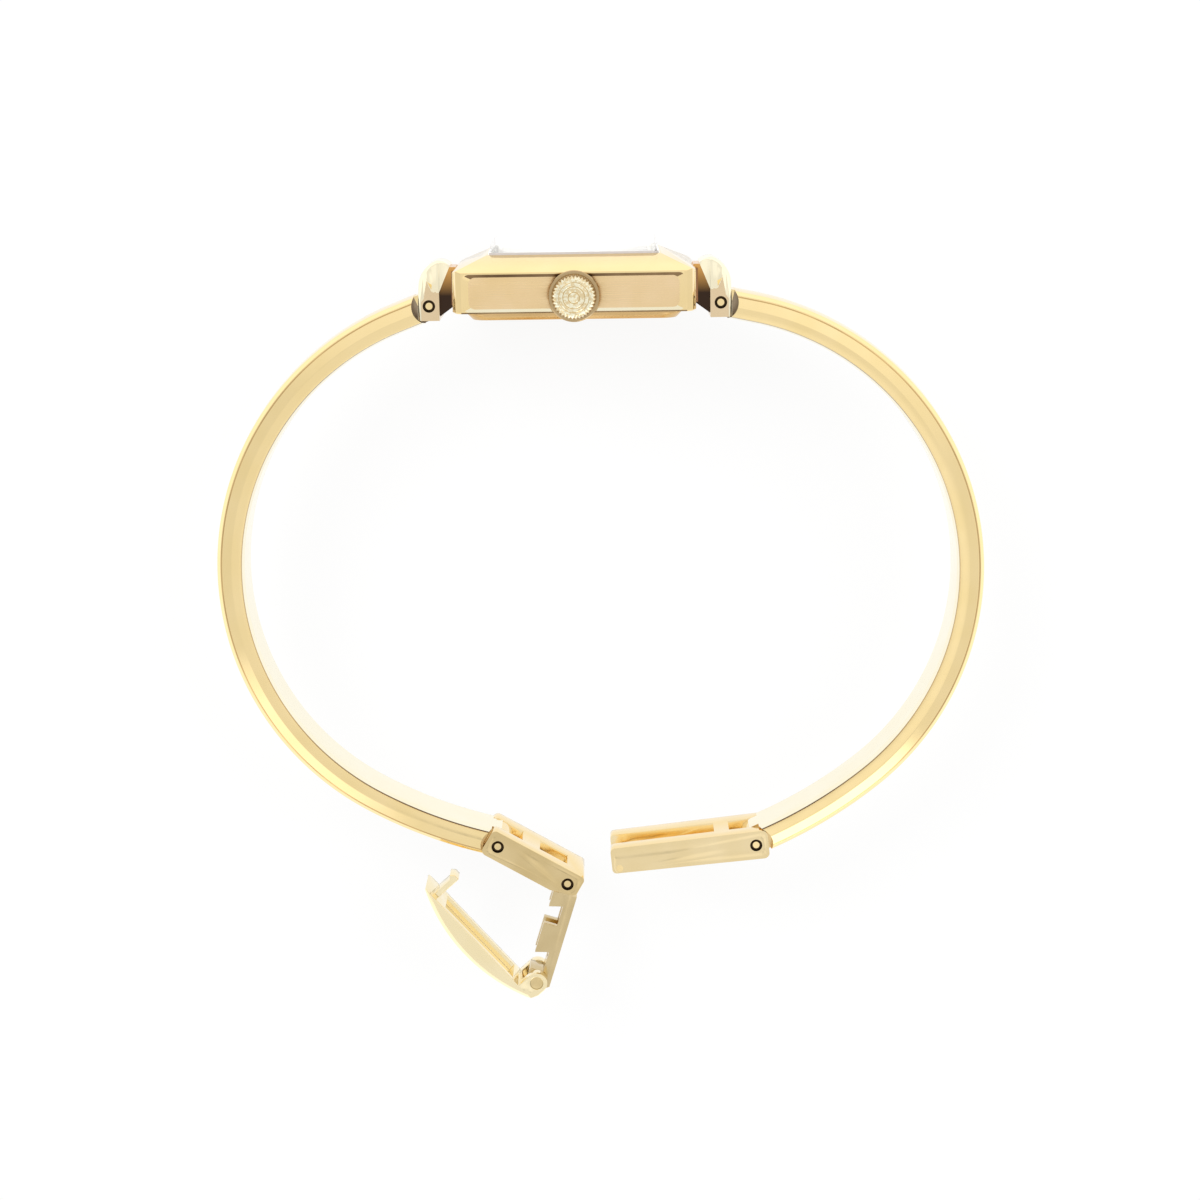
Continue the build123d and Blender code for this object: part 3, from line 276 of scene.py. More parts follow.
# Painted shade: the crystal's end walls grey and less clear than its faces
glass_end_painted_shade = clear_glass("crystal_end_painted_shade", (0.62, 0.59, 0.58), 0.08, 0.5)

finish = {
    "polished_gold": gold,
    "satin_gold": satin,
    "crystal_glass": glass,
    "gasket_rubber": rubber,
    "gasket_nylon": nylon,
    "dial_enamel": enamel,
    "movement_brass": gilt,
    "movement_steel": steel,
    "holder_plastic": plastic,
}


# The CAD nodes' finishes
def dress(obj, material):
    """Give a whole object one finish."""
    obj.data.materials.clear()
    obj.data.materials.append(material)


def soften(obj, width):
    """Weld a CAD node's facets, clean its flat faces and round its edges where it has a width in
    millimetres, and shade it smooth between them."""
    edge_angle, flat_angle = radians(32), radians(0.3)
    weld = obj.modifiers.new("weld", "WELD")
    weld.merge_threshold = 0.002 * mm
    if width:
        clean = obj.modifiers.new("clean", "DECIMATE")
        clean.decimate_type = "DISSOLVE"
        clean.angle_limit = flat_angle
        clean.delimit = {"MATERIAL"}
        bevel = obj.modifiers.new("bevel", "BEVEL")
        bevel.width = width * mm
        bevel.segments = 3
        bevel.limit_method = "ANGLE"
        bevel.angle_limit = edge_angle
        bevel.harden_normals = False
    obj.data.polygons.foreach_set("use_smooth", [True] * len(obj.data.polygons))
    obj.data.update()
    split = obj.modifiers.new("split", "EDGE_SPLIT")
    split.split_angle = edge_angle


def face_places(obj):
    """The centres, in millimetres, and the unit normals of a mesh's faces."""
    count = len(obj.data.polygons)
    centres, normals = np.empty(count * 3), np.empty(count * 3)
    obj.data.polygons.foreach_get("center", centres)
    obj.data.polygons.foreach_get("normal", normals)
    return centres.reshape(-1, 3) / mm, normals.reshape(-1, 3)


def paint(obj, material, chosen):
    """Give a finish to the faces that an array of true and false values picks."""
    obj.data.materials.append(material)
    index = np.empty(len(obj.data.polygons), dtype=np.int32)
    obj.data.polygons.foreach_get("material_index", index)
    index[chosen] = len(obj.data.materials) - 1
    obj.data.polygons.foreach_set("material_index", index)


slots = {entry["node"]: entry["material_slot"] for entry in frame["record"]["subparts"]}
for name, node in nodes.items():
    dress(node, finish[slots[name]])

# The links: a painted shade on the walls round the pins' ends, the outer flat faces painted darker on the
# left link and lighter on the right one, and a painted highlight on the walls of the slots
pins = {joint["name"]: np.array(joint["pos_m"]) / mm for joint in frame["joints"] if "pos_m" in joint}
for name, joints, tone in (
    ("left_link", ("left_link_hinge", "blade_hinge"), link_face_painted_shade),
    ("right_link", ("right_link_hinge",), link_face_painted_light),
):
    link = nodes[name]
    centres, normals = face_places(link)
    away = np.min([np.hypot(*(centres[:, :2] - pins[joint][:2]).T) for joint in joints], axis=0)
    in_mouth = away < pin_mouth_radius + pin_gap
    flat, across = np.abs(normals[:, 2]) > 0.99, np.abs(centres[:, 2] - mid)
    paint(link, painted_bore_shade, in_mouth)
    paint(link, tone, flat & (across > band_width / 2 - 0.15) & ~in_mouth)
    paint(link, slot_painted_highlight, flat & (across < 1.8))

# The satin panel of the 3 o'clock side, a dark line of painted shade along its top and a painted
# highlight along its foot
case_body = nodes["case_body"]
centres, normals = face_places(case_body)
in_frame = (centres[:, 2] > case_width - panel_depth) & (centres[:, 2] < case_width - 0.005)
in_frame &= normals[:, 2] < 0.99
on_floor = np.abs(centres[:, 2] - case_width + panel_depth) < 0.01
paint(case_body, satin, on_floor & (normals[:, 2] > 0.99))
paint(case_body, panel_painted_shade_line, in_frame & (normals[:, 1] < -0.2))
paint(case_body, panel_painted_highlight, in_frame & (normals[:, 1] > 0.2))

# The crystal's two end walls, seen along their glass, in a painted grey shade
centres, normals = face_places(nodes["crystal"])
paint(nodes["crystal"], glass_end_painted_shade, np.abs(normals[:, 0]) > 0.9)

# The gasket shows as a grey line of painted shade along the crystal's foot
centres, normals = face_places(nodes["crystal_gasket"])
near = centres[:, 2] > centres[:, 2].max() - 0.8
paint(nodes["crystal_gasket"], gasket_painted_shade_line, near & ((normals[:, 2] > 0.5) | (normals[:, 1] > 0.5)))

# The blade and the case back in painted shade, the cover in a painted highlight
dress(nodes["blade"], blade_painted_shade)
dress(nodes["cover"], cover_painted_highlight)
dress(nodes["case_back"], back_painted_shade)

# How far each node's edges are rounded, in millimetres; the others keep theirs
edges = {
    "case_body": 0.07,
    "case_back": 0.05,
    "left_link": 0.1,
    "right_link": 0.1,
    "blade": 0.05,
    "cover": 0.08,
}
for name, node in nodes.items():
    soften(node, edges.get(name, 0.0))


# New pieces
def mesh_piece(name, points, faces, materials, tones=None):
    """A mesh object at the origin from points in millimetres."""
    mesh = bpy.data.meshes.new(name)
    mesh.from_pydata((np.asarray(points) * mm).tolist(), [], [list(face) for face in faces])
    for material in materials:
        mesh.materials.append(material)
    if tones is not None:
        mesh.polygons.foreach_set("material_index", np.asarray(tones, dtype=np.int32))
    mesh.update()
    piece = bpy.data.objects.new(name, mesh)
    bpy.context.scene.collection.objects.link(piece)
    return piece


def grid_faces(rows, columns):
    """Four-sided faces between the neighbours in a grid of points that is closed round each row."""
    row = np.arange(rows - 1)[:, None]
    column = np.arange(columns)[None, :]
    after = (column + 1) % columns
    corners = [row * columns + column, row * columns + after, (row + 1) * columns + after]
    corners.append((row + 1) * columns + column)
    return np.stack([np.broadcast_to(c, (rows - 1, columns)) for c in corners], axis=-1).reshape(-1, 4)


def capped(rows, columns):
    """The faces of a grid that is closed round each row, with a face over its first and its last row."""
    last = (rows - 1) * columns
    ends = [list(range(columns))[::-1], list(range(last, last + columns))]
    return grid_faces(rows, columns).tolist() + ends


def shade(piece, angle):
    """Smooth shading that breaks at edges sharper than an angle."""
    piece.data.polygons.foreach_set("use_smooth", [True] * len(piece.data.polygons))
    piece.data.set_sharp_from_angle(angle=radians(angle))


def face_outwards(piece):
    """Join a closed mesh's equal points and turn its faces outwards."""
    shell = bmesh.new()
    shell.from_mesh(piece.data)
    bmesh.ops.remove_doubles(shell, verts=shell.verts, dist=0.001 * mm)
    bmesh.ops.recalc_face_normals(shell, faces=shell.faces)
    if shell.calc_volume(signed=True) < 0:
        bmesh.ops.reverse_faces(shell, faces=shell.faces)
    shell.to_mesh(piece.data)
    shell.free()
    return piece


def close_slivers(piece):
    """Merge the hair-thin slivers that cuts leave behind."""
    skin = bmesh.new()
    skin.from_mesh(piece.data)
    bmesh.ops.remove_doubles(skin, verts=skin.verts, dist=0.003 * mm)
    bmesh.ops.dissolve_degenerate(skin, edges=skin.edges, dist=0.001 * mm)
    bmesh.ops.triangulate(skin, faces=[face for face in skin.faces if len(face.verts) > 4])
    skin.to_mesh(piece.data)
    skin.free()


def carve(piece, tools, name):
    """Apply a list of cuts and joins to a piece and drop the tools."""
    for operation, tool in tools:
        step = piece.modifiers.new("cut", "BOOLEAN")
        step.operation = operation
        step.object = face_outwards(tool)
        step.solver = "EXACT"
        step.material_mode = "TRANSFER"
    bpy.context.view_layer.update()
    shaped = piece.evaluated_get(bpy.context.evaluated_depsgraph_get())
    result = bpy.data.objects.new(name, bpy.data.meshes.new_from_object(shaped))
    bpy.context.scene.collection.objects.link(result)
    for old in [piece] + [tool for _, tool in tools]:
        bpy.data.objects.remove(old)
    return result


def stand_for(piece, node, body):
    """Show a piece in the place of a CAD node, on the node's body."""
    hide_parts(node)
    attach(piece, body)


def eased(outline, reach, steps=4):
    """Each corner P of a closed outline becomes the parabola (1-k)^2 A + 2k(1-k) P + k^2 B, k from 0 to 1,
    where A and B lie at a reach from P along its two sides."""
    before, after = np.roll(outline, 1, axis=0) - outline, np.roll(outline, -1, axis=0) - outline
    span_before = np.linalg.norm(before, axis=1, keepdims=True)
    span_after = np.linalg.norm(after, axis=1, keepdims=True)
    start = outline + before / span_before * np.minimum(reach, span_before * 0.45)
    end = outline + after / span_after * np.minimum(reach, span_after * 0.45)
    k = np.linspace(0, 1, steps + 1)[None, :, None]
    curve = (1 - k) ** 2 * start[:, None] + 2 * k * (1 - k) * outline[:, None] + k**2 * end[:, None]
    return curve.reshape(-1, 2)


def arm_place(side, heading, local, z):
    """From the frame of an arm or a hood to the model's: the point (x, y) is turned by the heading, moved
    to the pin, mirrored for the left side, and stands z from the band's middle."""
    h = radians(heading)
    x = side * (hood_pin[0] + local[..., 0] * cos(h) - local[..., 1] * sin(h))
    y = hood_pin[1] + local[..., 0] * sin(h) + local[..., 1] * cos(h)
    return np.stack([x, y, np.broadcast_to(mid + z, x.shape)], axis=-1)


def bar_between(side, heading, outline, low, high, material, name):
    """A closed bar across the band: an outline in the arm's frame, carried from one depth to another."""
    outline = np.asarray(outline, dtype=float)
    points = np.concatenate([arm_place(side, heading, outline, z) for z in (low, high)])
    return mesh_piece(name, points, capped(2, len(outline)), [material])


def round_bar(side, heading, centre, radius, low, high, material, name, steps=72):
    """A closed round bar across the band: centre + radius * (cos a, sin a), between two depths."""
    turn = np.linspace(0, 2 * pi, steps, endpoint=False)
    ring = np.asarray(centre) + radius * np.stack([np.cos(turn), np.sin(turn)], axis=-1)
    return bar_between(side, heading, ring, low, high, material, name)


def arm_route(s):
    """The arm's middle line at lengths s from its hood pin, in the arm's own frame: a straight root, a
    bend, a gentler tail and a straight end. On an arc of radius R the direction turns clockwise by
    length / R, so from the angle a to b x grows by R (sin b - sin a) and y by R (cos b - cos a). Gives the
    places and the angles turned."""
    turn, tail_turn = radians(bend_angle), radians(tail_angle)
    bend_length, tail_length = bend_radius * turn, tail_radius * tail_turn
    first = np.clip(s - arm_straight, 0, bend_length) / bend_radius
    second = np.clip(s - arm_straight - bend_length, 0, tail_length) / tail_radius
    rest = np.maximum(s - arm_straight - bend_length - tail_length, 0)
    angle = first + second
    x = np.minimum(s, arm_straight) + bend_radius * np.sin(first)
    x = x + tail_radius * (np.sin(turn + second) - sin(turn)) * (second > 0) + rest * np.cos(angle)
    y = bend_radius * (np.cos(first) - 1)
    y = y + tail_radius * (np.cos(turn + second) - cos(turn)) * (second > 0) - rest * np.sin(angle)
    return np.stack([x, y], axis=-1), angle


def arm_section():
    """The outline across the arm, from its inner face up one flank, over the crowned top and down the
    other, and the tone of each corner's face: 0 inner face in a painted highlight, 1 dark line of painted
    shade, 2 gold, 3 brown line of painted shade. The top is y = thickness / 2 - drop - crown * t^2, t from
    1 to -1."""
    half, thick = band_width / 2, band_thickness / 2
    shoulder = half - band_shoulder_run
    fall = band_shoulder_run / (band_shoulder_rise - band_ridge_rise)
    line_rise = band_inner_rise * (1 - band_line_width / band_inner_bevel)
    flank = [
        (half - band_line_width, line_rise - thick),
        (half, band_inner_rise - thick),
        (half, band_ridge_rise - thick),
        (shoulder + band_lip * fall, band_shoulder_rise - band_lip - thick),
        (shoulder, band_shoulder_rise - thick),
        (half - band_top_run, thick - band_crown),
    ]
    top = np.linspace(1, -1, 9)[1:-1]
    crest = [(t * (half - band_top_run), thick - band_top_drop - band_crown * t * t) for t in top]
    inner = half - band_inner_bevel
    far_flank = [(-x, y) for x, y in flank[::-1]]
    outline = np.array([(inner, -thick)] + flank + crest + far_flank + [(-inner, -thick)])
    tones = [0, 1, 2, 2, 3, 2] + [2] * (len(crest) + 1) + [2, 3, 2, 2, 1, 0, 0]
    return outline, tones


def arm_band(side, heading, name):
    """The band: at the length s along the arm's route, the section's point (u, v) lies at
    route(s) + v * outward(s), at a depth u from the band's middle. Then come the hollows for its
    neighbours' ears, the gap to its hood, and a round tongue with its pin's bore at each end."""
    half, thick = band_width / 2, band_thickness / 2
    outline, corner_tones = arm_section()
    section = eased(outline, band_easing)
    steps = len(section) // len(outline)
    bends = bend_radius * radians(bend_angle) + tail_radius * radians(tail_angle)
    s = np.linspace(0, arm_straight + bends + tail_straight, 190)
    centres, turned = arm_route(s)
    outward = np.stack([np.sin(turned), np.cos(turned)], axis=-1)
    local = centres[:, None, :] + section[None, :, 1, None] * outward[:, None, :]
    points = arm_place(side, heading, local, section[None, :, 0]).reshape(-1, 3)
    tones = np.tile(np.repeat(corner_tones, steps), len(s) - 1).tolist() + [2, 2]
    # The inner face takes the painted highlight, the dark and brown lines the painted shade
    finishes = [band_inside_painted_highlight, band_line_painted_shade, band_gold, band_edge_painted_shade]
    blank = mesh_piece(name + "_blank", points, capped(len(s), len(section)), finishes, tones)
    band = face_outwards(blank)

    def bar(centre, radius, low, high, material, label, steps=72):
        return round_bar(side, heading, centre, radius, low, high, material, label, steps)

    root_pin, end_pin = (0.0, 0.0), centres[-1]
    tongue = tongue_width / 2
    tools = []
    # The hollows' walls take their painted shade
    for centre, tone in ((root_pin, scoop_painted_shade), (end_pin, socket_painted_shade)):
        for low, high in ((tongue, half + 1), (-half - 1, -tongue)):
            tools.append(("DIFFERENCE", bar(centre, scoop_radius, low, high, tone, "scoop")))
    lean = radians(arm_open_heading)
    trim = (hood_front + fit_gap) / cos(lean)
    over = thick + 0.5
    wedge = [(-1, 0), (trim, 0), (trim + over * np.tan(lean), over), (-1, over)]
    shoulder = bar_between(side, heading, wedge, -half - 1, half + 1, band_gold, "shoulder")
    tools.append(("DIFFERENCE", shoulder))
    for centre in (root_pin, end_pin):
        tools.append(("UNION", bar(centre, tongue_radius, -tongue, tongue, band_gold, "tongue")))
    reach, rise, inset = scoop_radius + 0.2, tongue_radius - 0.01, tongue - 0.01
    root = [(0, -rise), (reach, -rise), (reach, rise), (0, rise)]
    tools.append(("UNION", bar_between(side, heading, root, -inset, inset, band_gold, "root")))
    # The pins' bores, cut in the painted bore shade
    for centre in (root_pin, end_pin):
        tools.append(("DIFFERENCE", bar(centre, pin_radius + pin_gap, -half, half, painted_bore_shade, "bore", 32)))
    arm = carve(band, tools, name)
    shade(arm, 22)
    return arm


def arc_between(a, b, c, steps):
    """Points along the circle through a, b and c, from a to c: its centre M has |M-a| = |M-b| = |M-c|, and
    the points are M + radius * (cos t, sin t)."""
    matrix = 2 * np.array([np.subtract(b, a), np.subtract(c, a)], dtype=float)
    centre = np.linalg.solve(matrix, [np.dot(b, b) - np.dot(a, a), np.dot(c, c) - np.dot(a, a)])
    start, end = (np.arctan2(*(np.subtract(p, centre)[::-1])) for p in (a, c))
    turn = np.linspace(start, end, steps)
    radius = np.linalg.norm(np.subtract(a, centre))
    return centre + radius * np.stack([np.cos(turn), np.sin(turn)], axis=-1)


def hood_shell(side, name):
    """The hood's dome and ears in one skin. At each x outwards from the pin, a loop runs up one ear from
    its foot F(x) to the crest T(x), over to the other ear and down again. Its half width is the band's
    below the dome's edge V(x), and above it falls by lean * ((y - V) / (T - V)) ** 1.5. Towards the front
    it falls by a quarter round of the corner's radius, and near the top by another."""
    rim = (hood_front, hood_waist_height)
    crest = np.concatenate([
        arc_between(rim, hood_shoulder, hood_crest, 36),
        arc_between(hood_crest, hood_brow, hood_apex, 16)[1:],
    ])
    x = np.union1d(crest[:, 0], np.linspace(hood_apex[0], hood_front, 70))[::-1]
    crest = np.stack([x, np.interp(x, crest[::-1, 0], crest[::-1, 1])], axis=-1)
    wall = np.interp(-hood_waist_back, crest[::-1, 0], crest[::-1, 1])
    front = crest[crest[:, 0] > 0.001 - hood_waist_back]
    back = crest[crest[:, 0] < -hood_waist_back - 0.02]
    x = np.concatenate([front[:, 0], [-hood_waist_back, -hood_waist_back - hood_wall_step], back[:, 0]])
    top = np.concatenate([front[:, 1], [wall, wall], back[:, 1]])
    slope = (hood_apex[1] - hood_back_edge - hood_waist_height) / (-hood_apex[0] - hood_waist_back)
    underside = hood_waist_height + (-hood_waist_back - x) * slope
    foot = np.where(np.arange(len(x)) > len(front), underside, -hood_foot)
    edge = np.interp(x, hood_edge_x, hood_edge_y)[:, None]

    rise = np.linspace(0, 1, 60)[None, :]
    y = foot[:, None] + (top - foot)[:, None] * rise
    above = np.clip((y - edge) / (top[:, None] - edge + 0.001), 0, 1)
    past = np.clip(x - (hood_front - hood_corner), 0, hood_corner)
    tuck = hood_corner - np.sqrt(hood_corner**2 - past**2)
    near_top = np.clip((rise - hood_top_start) / hood_top_share, 0, 1)
    near_top = near_top * np.clip((top - foot) / 2, 0, 1)[:, None]
    wide = band_width / 2 - hood_lean * above**1.5 - tuck[:, None]
    wide = wide - hood_top_round * (1 - np.sqrt(1 - near_top**2))
    over = np.linspace(1, -1, 9)[None, 1:-1]
    loop_y = np.concatenate([y, np.repeat(y[:, -1:], over.shape[1], axis=1), y[:, ::-1]], axis=1)
    loop_z = np.concatenate([wide, wide[:, -1:] * over, -wide[:, ::-1]], axis=1)
    columns = loop_y.shape[1]
    local = np.stack([np.broadcast_to(x[:, None], loop_y.shape), loop_y], axis=-1)
    points = arm_place(side, 0, local, loop_z).reshape(-1, 3)
    # The ears' flat fronts take the painted shade, the rest of the skin the painted highlight
    ear = (loop_y < edge + 0.02) & (np.abs(loop_z) > band_width / 2 - 0.02)
    faces = grid_faces(len(x), columns)
    tones = ear.reshape(-1)[faces].all(axis=1).astype(int).tolist() + [0, 0]
    faces = faces.tolist() + [list(range(columns)), list(range(len(points) - columns, len(points)))]
    return face_outwards(mesh_piece(name, points, faces, [dome_painted_highlight, ear_painted_shade], tones))


def hood_piece(side, name):
    """The whole hood: its skin, joined to the neck and plate against the case, less the tongue's slot, the
    round hollow at the slot's end and the pin's bore with its two wider mouths."""
    half, inner_end = band_width / 2, -hood_pin_reach

    def bar(outline, reach, material, label):
        return bar_between(side, 0, outline, -reach, reach, material, label)

    def bore(radius, low, high, material, label, steps=72):
        return round_bar(side, 0, (0, 0), radius, low, high, material, label, steps)

    neck = [(inner_end, neck_top), (inner_end, neck_foot)]
    neck += [(neck_heel - hood_waist_back, -hood_foot), (neck_front, neck_top)]
    plate_end = plate_thickness - hood_pin_reach
    plate = [(inner_end, plate_top), (inner_end, neck_foot)]
    plate += [(plate_end, neck_foot), (plate_end, plate_top)]
    slot = [(0, slot_top), (0, -3), (3, -3), (3, slot_top)]
    inside = slot_half - 0.001
    # The neck and the plate bring their painted shade, the mouths the painted bore shade
    tools = [
        ("UNION", bar(neck, neck_half, neck_shade, "neck")),
        ("UNION", bar(plate, plate_half, plate_painted_shade, "plate")),
        ("DIFFERENCE", bar(slot, slot_half, gold, "slot")),
        ("DIFFERENCE", bore(tongue_radius + slot_gap, -inside, inside, gold, "hollow")),
        ("DIFFERENCE", bore(pin_radius, -4, 4, gold, "bore", 48)),
    ]
    # The mouths, cut in the painted bore shade
    for low, high in ((half - pin_mouth_depth, 4), (-4, pin_mouth_depth - half)):
        tools.append(("DIFFERENCE", bore(pin_mouth_radius, low, high, painted_bore_shade, "mouth", 64)))
    hood = carve(hood_shell(side, name + "_skin"), tools, name)
    close_slivers(hood)
    shade(hood, 24)
    return hood


def crown_piece(name):
    """The crown: a profile of radius r and depth z turned round the stem. The dome of its face is
    z = front - dome * (r / grip)^2, less ring depth * exp(-((r - ring) / ring width)^2) at each ring. On
    the grip r is less by knurl depth * fade * a triangle wave that has 36 teeth a turn. The fade grows
    with r from 0 to 1, so that the teeth run out over the edge of the face."""
    foot, grip, shoulder = crown_foot, crown_grip_radius, crown_front - crown_dome
    face_r = np.linspace(1.0, 0.0, 90) * (grip - 0.14)
    face_z = crown_front - crown_dome * (face_r / grip) ** 2 - 0.015
    for ring in crown_rings:
        face_z = face_z - crown_ring_depth * np.exp(-(((face_r - ring) / crown_ring_width) ** 2))
    profile = [
        # The bore
        (0, crown_bore_end),
        (crown_bore_radius, crown_bore_end),
        (crown_bore_radius, foot),
        # The plain rim at the foot
        (crown_radius - 0.06, foot),
        (crown_radius, foot + 0.06),
        (crown_radius, foot + 0.36),
        (crown_radius - 0.03, foot + 0.42),
        (crown_radius - 0.08, foot + 0.45),
        # The grip and its rounded shoulder
        (grip, foot + 0.45),
        (grip, foot + 0.6),
        (grip - 0.03, shoulder - 0.12),
        (grip - 0.06, shoulder - 0.04),
        (grip - 0.1, shoulder + 0.01),
    ]
    profile = np.concatenate([np.array(profile, dtype=float), np.stack([face_r, face_z], axis=-1)])
    r, z = profile[:, 0], profile[:, 1]
    fade = np.where(z > foot + 0.47, np.clip((r - knurl_fade_start) / knurl_fade, 0, 1), 0)
    turn = np.linspace(0, 2 * pi, 360, endpoint=False)
    wave = np.abs((turn * crown_teeth / (2 * pi)) % 1 - 0.5) * 2
    spread = r[:, None] - knurl_depth * fade[:, None] * wave[None, :]
    depth = np.broadcast_to(z[:, None], spread.shape)
    points = np.stack([spread * np.cos(turn), spread * np.sin(turn) + crown_height, depth], axis=-1)
    middle = np.repeat((z[:-1] + z[1:]) / 2, len(turn))
    spokes = np.repeat((r[:-1] + r[1:]) / 2, len(turn))
    # Painted shade on the rim, the grip and the rings, painted glints on the face
    tones = np.where(spokes < grip - 0.1, 2, 1) * (middle > foot + 0.46)
    for ring in crown_rings:
        tones[(tones == 2) & (np.abs(spokes - ring) < 0.035)] = 3
    finishes = [crown_rim_painted_shade, crown_grip_painted_shade, crown_face_painted_glints, crown_line_painted_shade]
    faces = grid_faces(len(r), len(turn))
    crown = face_outwards(mesh_piece(name, points.reshape(-1, 3), faces, finishes, tones))
    shade(crown, 25)
    return crown


stand_for(arm_band(1, right_heading, "arm_right_band"), "arm_right", "right_arm")
stand_for(arm_band(-1, left_heading, "arm_left_band"), "arm_left", "left_arm")
stand_for(hood_piece(1, "hood_right_shell"), "hood_right", "case")
stand_for(hood_piece(-1, "hood_left_shell"), "hood_left", "case")
stand_for(crown_piece("crown_knurled"), "crown", "crown")


# Floor, backdrop and light: how bright the studio is for metal and glass, for matt surfaces and for the
# camera, and the part of the floor's own light that all but matt surfaces see
studio_level, matt_level, camera_level, floor_level = 0.88, 0.85, 1.0, 0.88


def floor_material():
    """Pale matt floor that shows the object's shadow. Metal sees it brighter outside the bangle."""
    material, tree, shader = new_material("floor")
    shader.inputs["Base Color"].default_value = (0.8, 0.8, 0.8, 1)
    shader.inputs["Roughness"].default_value = 0.9
    shader.inputs["Specular IOR Level"].default_value = 0.0
    place = tree.nodes.new("ShaderNodeTexCoord")
    away = tree.nodes.new("ShaderNodeVectorMath")
    away.operation = "DISTANCE"
    bangle_middle, inside, outside, outside_level = (0, -25 * mm, 0), 28 * mm, 48 * mm, 1.2
    away.inputs[1].default_value = bangle_middle
    tree.links.new(place.outputs["Object"], away.inputs[0])
    brighter = ramp(tree, away.outputs["Value"], 1.0, outside_level, inside, outside)
    path = tree.nodes.new("ShaderNodeLightPath")
    shown = tree.nodes.new("ShaderNodeMix")
    tree.links.new(path.outputs["Is Glossy Ray"], shown.inputs["Factor"])
    shown.inputs["A"].default_value = 1.0
    tree.links.new(brighter, shown.inputs["B"])
    glow = tree.nodes.new("ShaderNodeEmission")
    tree.links.new(shown.outputs["Result"], glow.inputs["Strength"])
    seen = join(tree, "MAXIMUM", path.outputs["Is Camera Ray"], path.outputs["Is Glossy Ray"])
    seen = join(tree, "MAXIMUM", seen, path.outputs["Is Transmission Ray"])
    mix = tree.nodes.new("ShaderNodeMixShader")
    tree.links.new(join(tree, "MULTIPLY", seen, floor_level), mix.inputs["Fac"])
    tree.links.new(shader.outputs["BSDF"], mix.inputs[1])
    tree.links.new(glow.outputs["Emission"], mix.inputs[2])
    tree.links.new(mix.outputs["Shader"], tree.nodes["Material Output"].inputs["Surface"])
    return material


bpy.ops.mesh.primitive_grid_add(size=4.0, location=(0, 0, -0.02 * mm))
floor = bpy.context.object
floor.name = "floor"
dress(floor, floor_material())

world = bpy.data.worlds.new("studio")
bpy.context.scene.world = world
world.use_nodes = True
sky = world.node_tree
way = sky.nodes.new("ShaderNodeTexCoord").outputs["Generated"]


def patch(azimuth, elevation, inner, outer):
    """A soft round patch of the studio: 1 within an angle of its middle, 0 past another."""
    level = cos(radians(elevation))
    middle = (level * cos(radians(azimuth)), level * sin(radians(azimuth)), sin(radians(elevation)))
    node = sky.nodes.new("ShaderNodeVectorMath")
    node.operation = "DOT_PRODUCT"
    node.inputs[1].default_value = middle
    sky.links.new(way, node.inputs[0])
    reach = sky.nodes.new("ShaderNodeMapRange")
    reach.interpolation_type = "SMOOTHSTEP"
    reach.inputs["From Min"].default_value = cos(radians(outer))
    reach.inputs["From Max"].default_value = cos(radians(inner))
    sky.links.new(node.outputs["Value"], reach.inputs["Value"])
    return reach.outputs["Result"]


# Lighter and darker parts of the studio: azimuth, elevation, full and outer reach, strength
studio = (
    (-66, 26, 8, 20, 1.1),
    (-132, 27, 8, 20, 0.45),
    (165, 38, 20, 45, -0.06),
    (-12, 33, 15, 35, -0.03),
    (44, 43, 12, 28, 0.1),
    (-72, 75, 2, 8, 0.14),
    (-98, 72, 1, 3, -0.24),
    (60, 36, 10, 26, 0.09),
    (120, 36, 10, 26, 0.14),
)
glow = studio_level
for azimuth, elevation, inner, outer, strength in studio:
    light = join(sky, "MULTIPLY", patch(azimuth, elevation, inner, outer), strength)
    glow = join(sky, "ADD", glow, light)

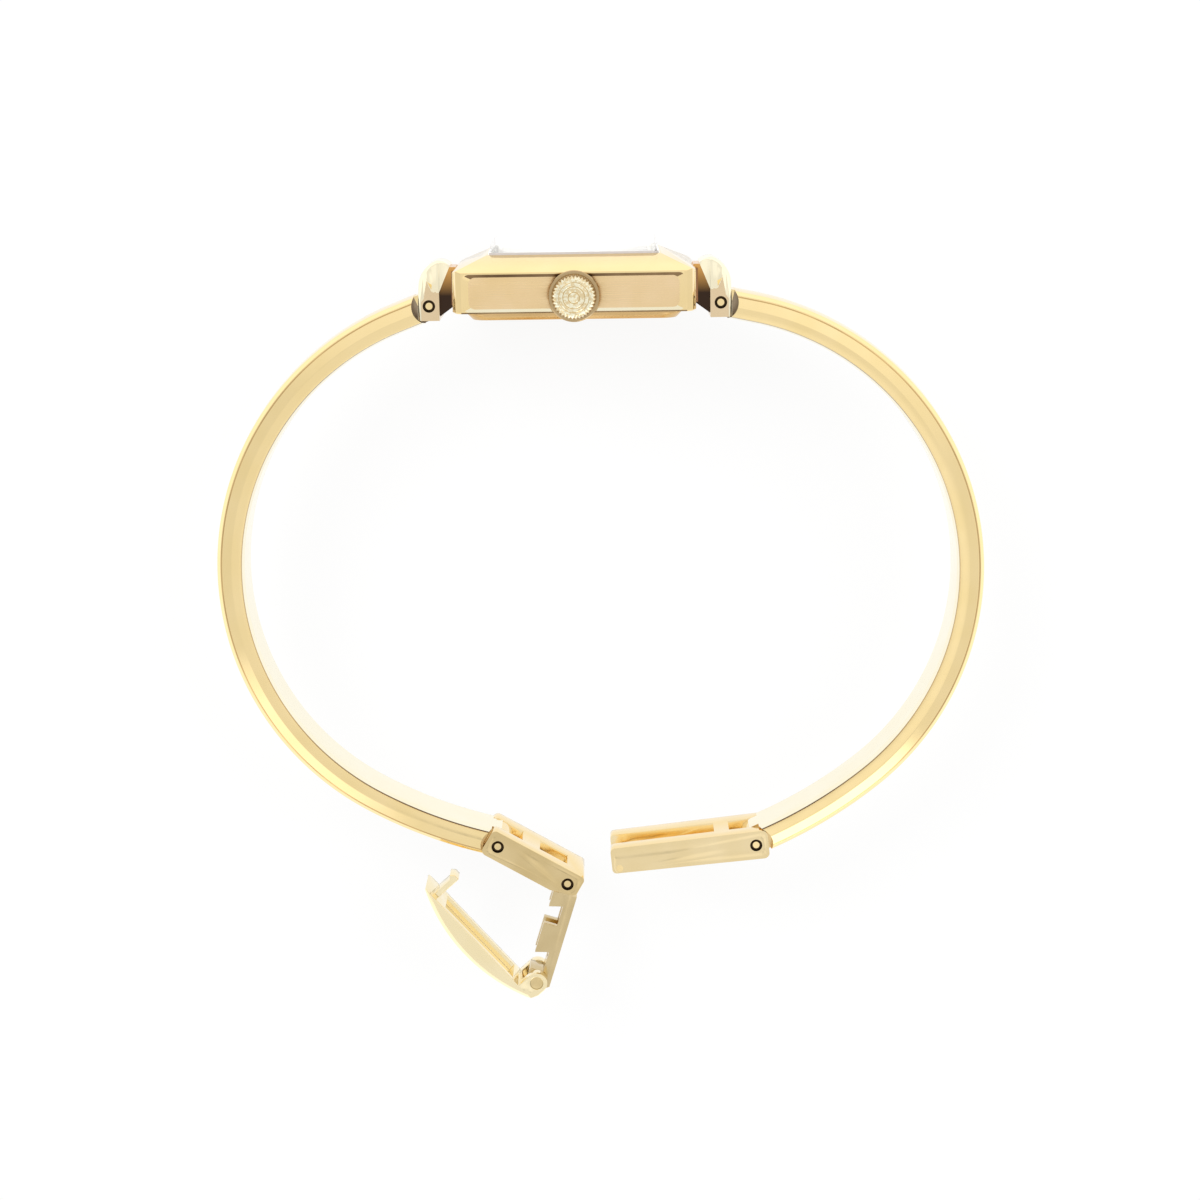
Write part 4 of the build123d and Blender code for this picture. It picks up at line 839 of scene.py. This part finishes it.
# Metal and glass see the studio, matt surfaces an even light, and the camera plain white
path = sky.nodes.new("ShaderNodeLightPath")
shown = join(sky, "MAXIMUM", path.outputs["Is Glossy Ray"], path.outputs["Is Transmission Ray"])
mirror = sky.nodes.new("ShaderNodeMix")
mirror.inputs["A"].default_value = matt_level
sky.links.new(shown, mirror.inputs["Factor"])
sky.links.new(glow, mirror.inputs["B"])
plain = sky.nodes.new("ShaderNodeMix")
plain.inputs["B"].default_value = camera_level
sky.links.new(mirror.outputs["Result"], plain.inputs["A"])
sky.links.new(path.outputs["Is Camera Ray"], plain.inputs["Factor"])
background = sky.nodes["Background"]
sky.links.new(plain.outputs["Result"], background.inputs["Strength"])
background.inputs["Color"].default_value = (1, 1, 1, 1)


def softbox(name, place, power):
    """A square lamp over the bangle that lights matt surfaces and isn't mirrored in the metal."""
    size, aim = 0.3, Vector((0, -0.025, 0.008))
    data = bpy.data.lights.new(name, "AREA")
    data.shape = "RECTANGLE"
    data.size, data.size_y = size, size
    data.energy = power
    lamp = bpy.data.objects.new(name, data)
    bpy.context.scene.collection.objects.link(lamp)
    lamp.location = place
    lamp.rotation_euler = (aim - Vector(place)).to_track_quat("-Z", "Y").to_euler()
    lamp.visible_glossy = False


softbox("key_light", (-0.25, 0.25, 0.35), 1.6)
softbox("fill_light", (0.3, 0.1, 0.3), 0.8)

# Camera, in the photo's place
focal_pixels, picture_pixels = 2686, 1200
camera_data = bpy.data.cameras.new("camera")
camera = bpy.data.objects.new("camera", camera_data)
bpy.context.scene.collection.objects.link(camera)
camera_data.sensor_width = 36
camera_data.lens = focal_pixels / picture_pixels * camera_data.sensor_width
camera_data.clip_start, camera_data.clip_end = 0.01, 20
camera.location = (0.00216, 0.01555, 0.2167)
roll, tilt = Euler((0, 0, radians(-0.8))), Euler((radians(-10.96), 0, 0))
camera.rotation_euler = (roll.to_matrix() @ tilt.to_matrix()).to_euler()
bpy.context.scene.camera = camera
bpy.context.scene.view_settings.view_transform = "Standard"
